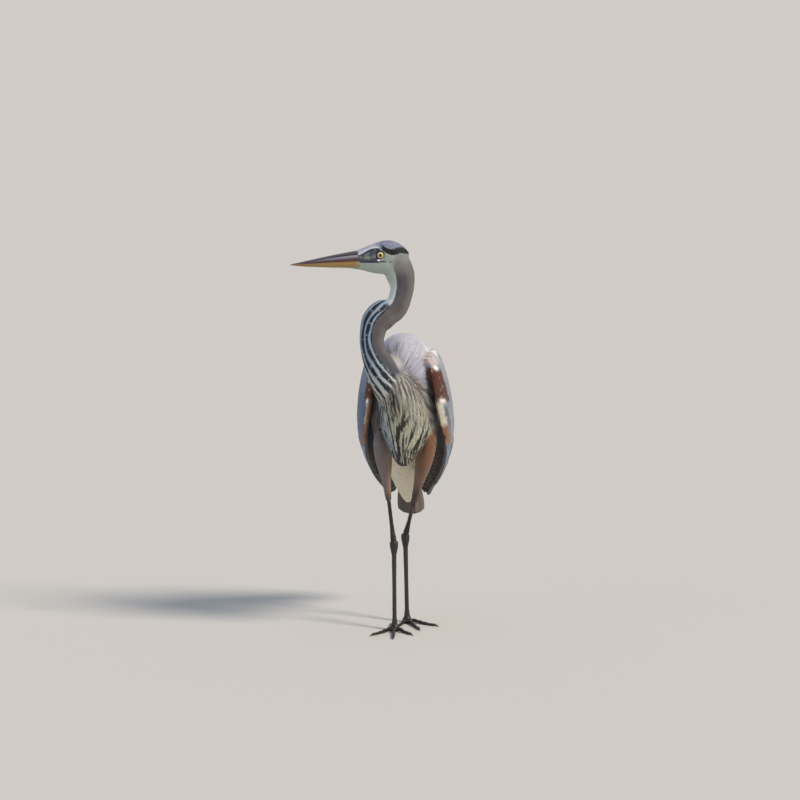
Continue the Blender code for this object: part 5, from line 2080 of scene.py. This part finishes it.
@dataclass
class Claws:
    """Eight claws, rounded off from the solids, their roots inside the toes."""

    anatomy: Anatomy
    levels: int = 2
    sunk: float = 2.0 * MM

    def build(self) -> None:
        """Builds and dresses the claws."""
        gloss = {"grain": 0.1, "grain_size": 0.5 * MM, "coat": 0.3, "coat_roughness": 0.2}
        material = PaintedFinish("worn_claw_horn", roughness=0.35, **gloss).make()
        for side in SIDES:
            for toe in TOE_NAMES:
                name = f"claw_{side}_{toe}"
                piece = rounded(self.anatomy.nodes[name], name + "_horn", self.levels)
                points, _ = read_mesh(piece.data)
                low, high = extent(name)
                points = low + (points - points.min(axis=0)) * (high - low) / np.ptp(points, axis=0)
                away = (points - middle_of(f"tarsus_{side}")) * (1, 1, 0)
                reach = np.linalg.norm(away, axis=1)
                share = (reach - reach.min()) / max(np.ptp(reach), 1e-6)
                points -= away / reach[:, None] * (self.sunk * ramp(0.2, 0.0, share))[:, None]
                piece.data.vertices.foreach_set("co", points.astype(np.float32).ravel())
                paint(piece, mix(linear("#3a322c"), linear("#17130f"), share))
                settle(piece, material, (name,))


def rounded(node: Object, name: str, levels: int) -> Object:
    """Copies a solid and rounds its facets off by subdivision."""
    mesh = bmesh.new()
    mesh.from_mesh(node.data)
    bmesh.ops.remove_doubles(mesh, verts=mesh.verts, dist=1e-6)
    data = bpy.data.meshes.new(name)
    mesh.to_mesh(data)
    mesh.free()
    piece = new_object(name, data)
    subdivision = piece.modifiers.new("rounding", "SUBSURF")
    subdivision.levels = subdivision.render_levels = levels
    return write_mesh(name, *read_modified(piece))


# ---- The studio ----
@dataclass
class Studio:
    """A plain pale floor, soft lights and the camera."""

    aim: tuple[float, float, float] = (0.011, 0.0, 0.485)
    elevation: float = math.radians(10)
    distance: float = 22.0
    field_width: float = 1.652
    sensor: float = 36.0
    floor_radius: float = 30.0

    def build(self) -> None:
        """Sets up floor, world, lights and camera."""
        self.lay_floor()
        self.light()
        self.set_camera()

    def lay_floor(self) -> None:
        """Lays a wide round floor at the soles' level."""
        bpy.ops.mesh.primitive_circle_add(vertices=96, radius=self.floor_radius, fill_type="NGON")
        floor = bpy.context.object
        floor.name = "studio_floor"
        floor.data.materials.append(FloorFinish().make())

    def light(self) -> None:
        """A broad key high on the bird's left, a faint cool fill on its right and a pale room round both."""
        self.add_lamp("key", (2.4, -1.7, 3.2), 14, 3.1, "#fff1df")
        self.add_lamp("fill", (-3.2, -2.2, 1.2), 60, 0.35, "#bcd4ff")
        bpy.context.scene.view_settings.view_transform = "Standard"
        world = bpy.data.worlds.new("pale_room")
        bpy.context.scene.world = world
        world.use_nodes = True
        tree = world.node_tree
        height = add_node(tree, "SeparateXYZ", add_node(tree, "TexCoord").outputs["Generated"]).outputs["Z"]
        rise = add_node(tree, "MapRange", height, 0.16, 0.55, 0.0, 1.0)
        wall, ceiling = (*linear("#eaeae8"), 1.0), (*linear("#aab4c4"), 1.0)
        room = add_node(tree, "Mix", data_type="RGBA", i0=rise, i6=wall, i7=ceiling)
        sky = tree.nodes["Background"]
        tree.links.new(room.outputs[2], sky.inputs["Color"])
        sky.inputs["Strength"].default_value = 0.85

    def add_lamp(
        self, name: str, place: tuple[float, float, float], spread: float, power: float, tone: str
    ) -> None:
        """Adds one soft lamp, far off in the direction of a place, that lights bird and floor evenly."""
        lamp = bpy.data.lights.new(name, "SUN")
        lamp.angle = math.radians(spread)
        lamp.energy = power
        lamp.color = linear(tone)
        self.point(new_object(name, lamp), Vector(place))

    def point(self, holder: Object, place: Vector) -> None:
        """Puts a lamp or the camera in its place and turns it to face the bird's middle."""
        holder.location = place
        holder.rotation_mode = "QUATERNION"
        holder.rotation_quaternion = (Vector(self.aim) - place).to_track_quat("-Z", "Y")

    def set_camera(self) -> None:
        """Places a long lens level with the bird's shoulders and a little above."""
        lens = bpy.data.cameras.new("camera")
        lens.sensor_width = self.sensor
        lens.lens = self.sensor * self.distance / self.field_width
        camera = new_object("camera", lens)
        back = Vector((0.0, -math.cos(self.elevation), math.sin(self.elevation)))
        self.point(camera, Vector(self.aim) + back * self.distance)
        camera.rotation_quaternion = (-back).to_track_quat("-Z", "Y")
        bpy.context.scene.camera = camera


def main() -> None:
    """Builds the heron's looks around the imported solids."""
    logging.basicConfig(level=logging.INFO, format="%(message)s")
    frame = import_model()
    anatomy = Anatomy(frame["nodes"])
    form = coat_form(anatomy)
    markings = Markings(anatomy, FEATHERED)
    LOG.info("coat form: %d points", len(form.points))
    Skin(anatomy, Markings(anatomy, flesh_names())).build()
    Coat(anatomy, markings, form).build()
    Bill(anatomy).build()
    Eyes(anatomy).build()
    FlightFeathers(anatomy, form).build()
    WingCoverts(anatomy, form, markings).build()
    Scapulars(anatomy, form).build()
    Tail(anatomy).build()
    LegScales(anatomy).build()
    Claws(anatomy).build()
    Studio().build()


if __name__ == "__main__":
    main()
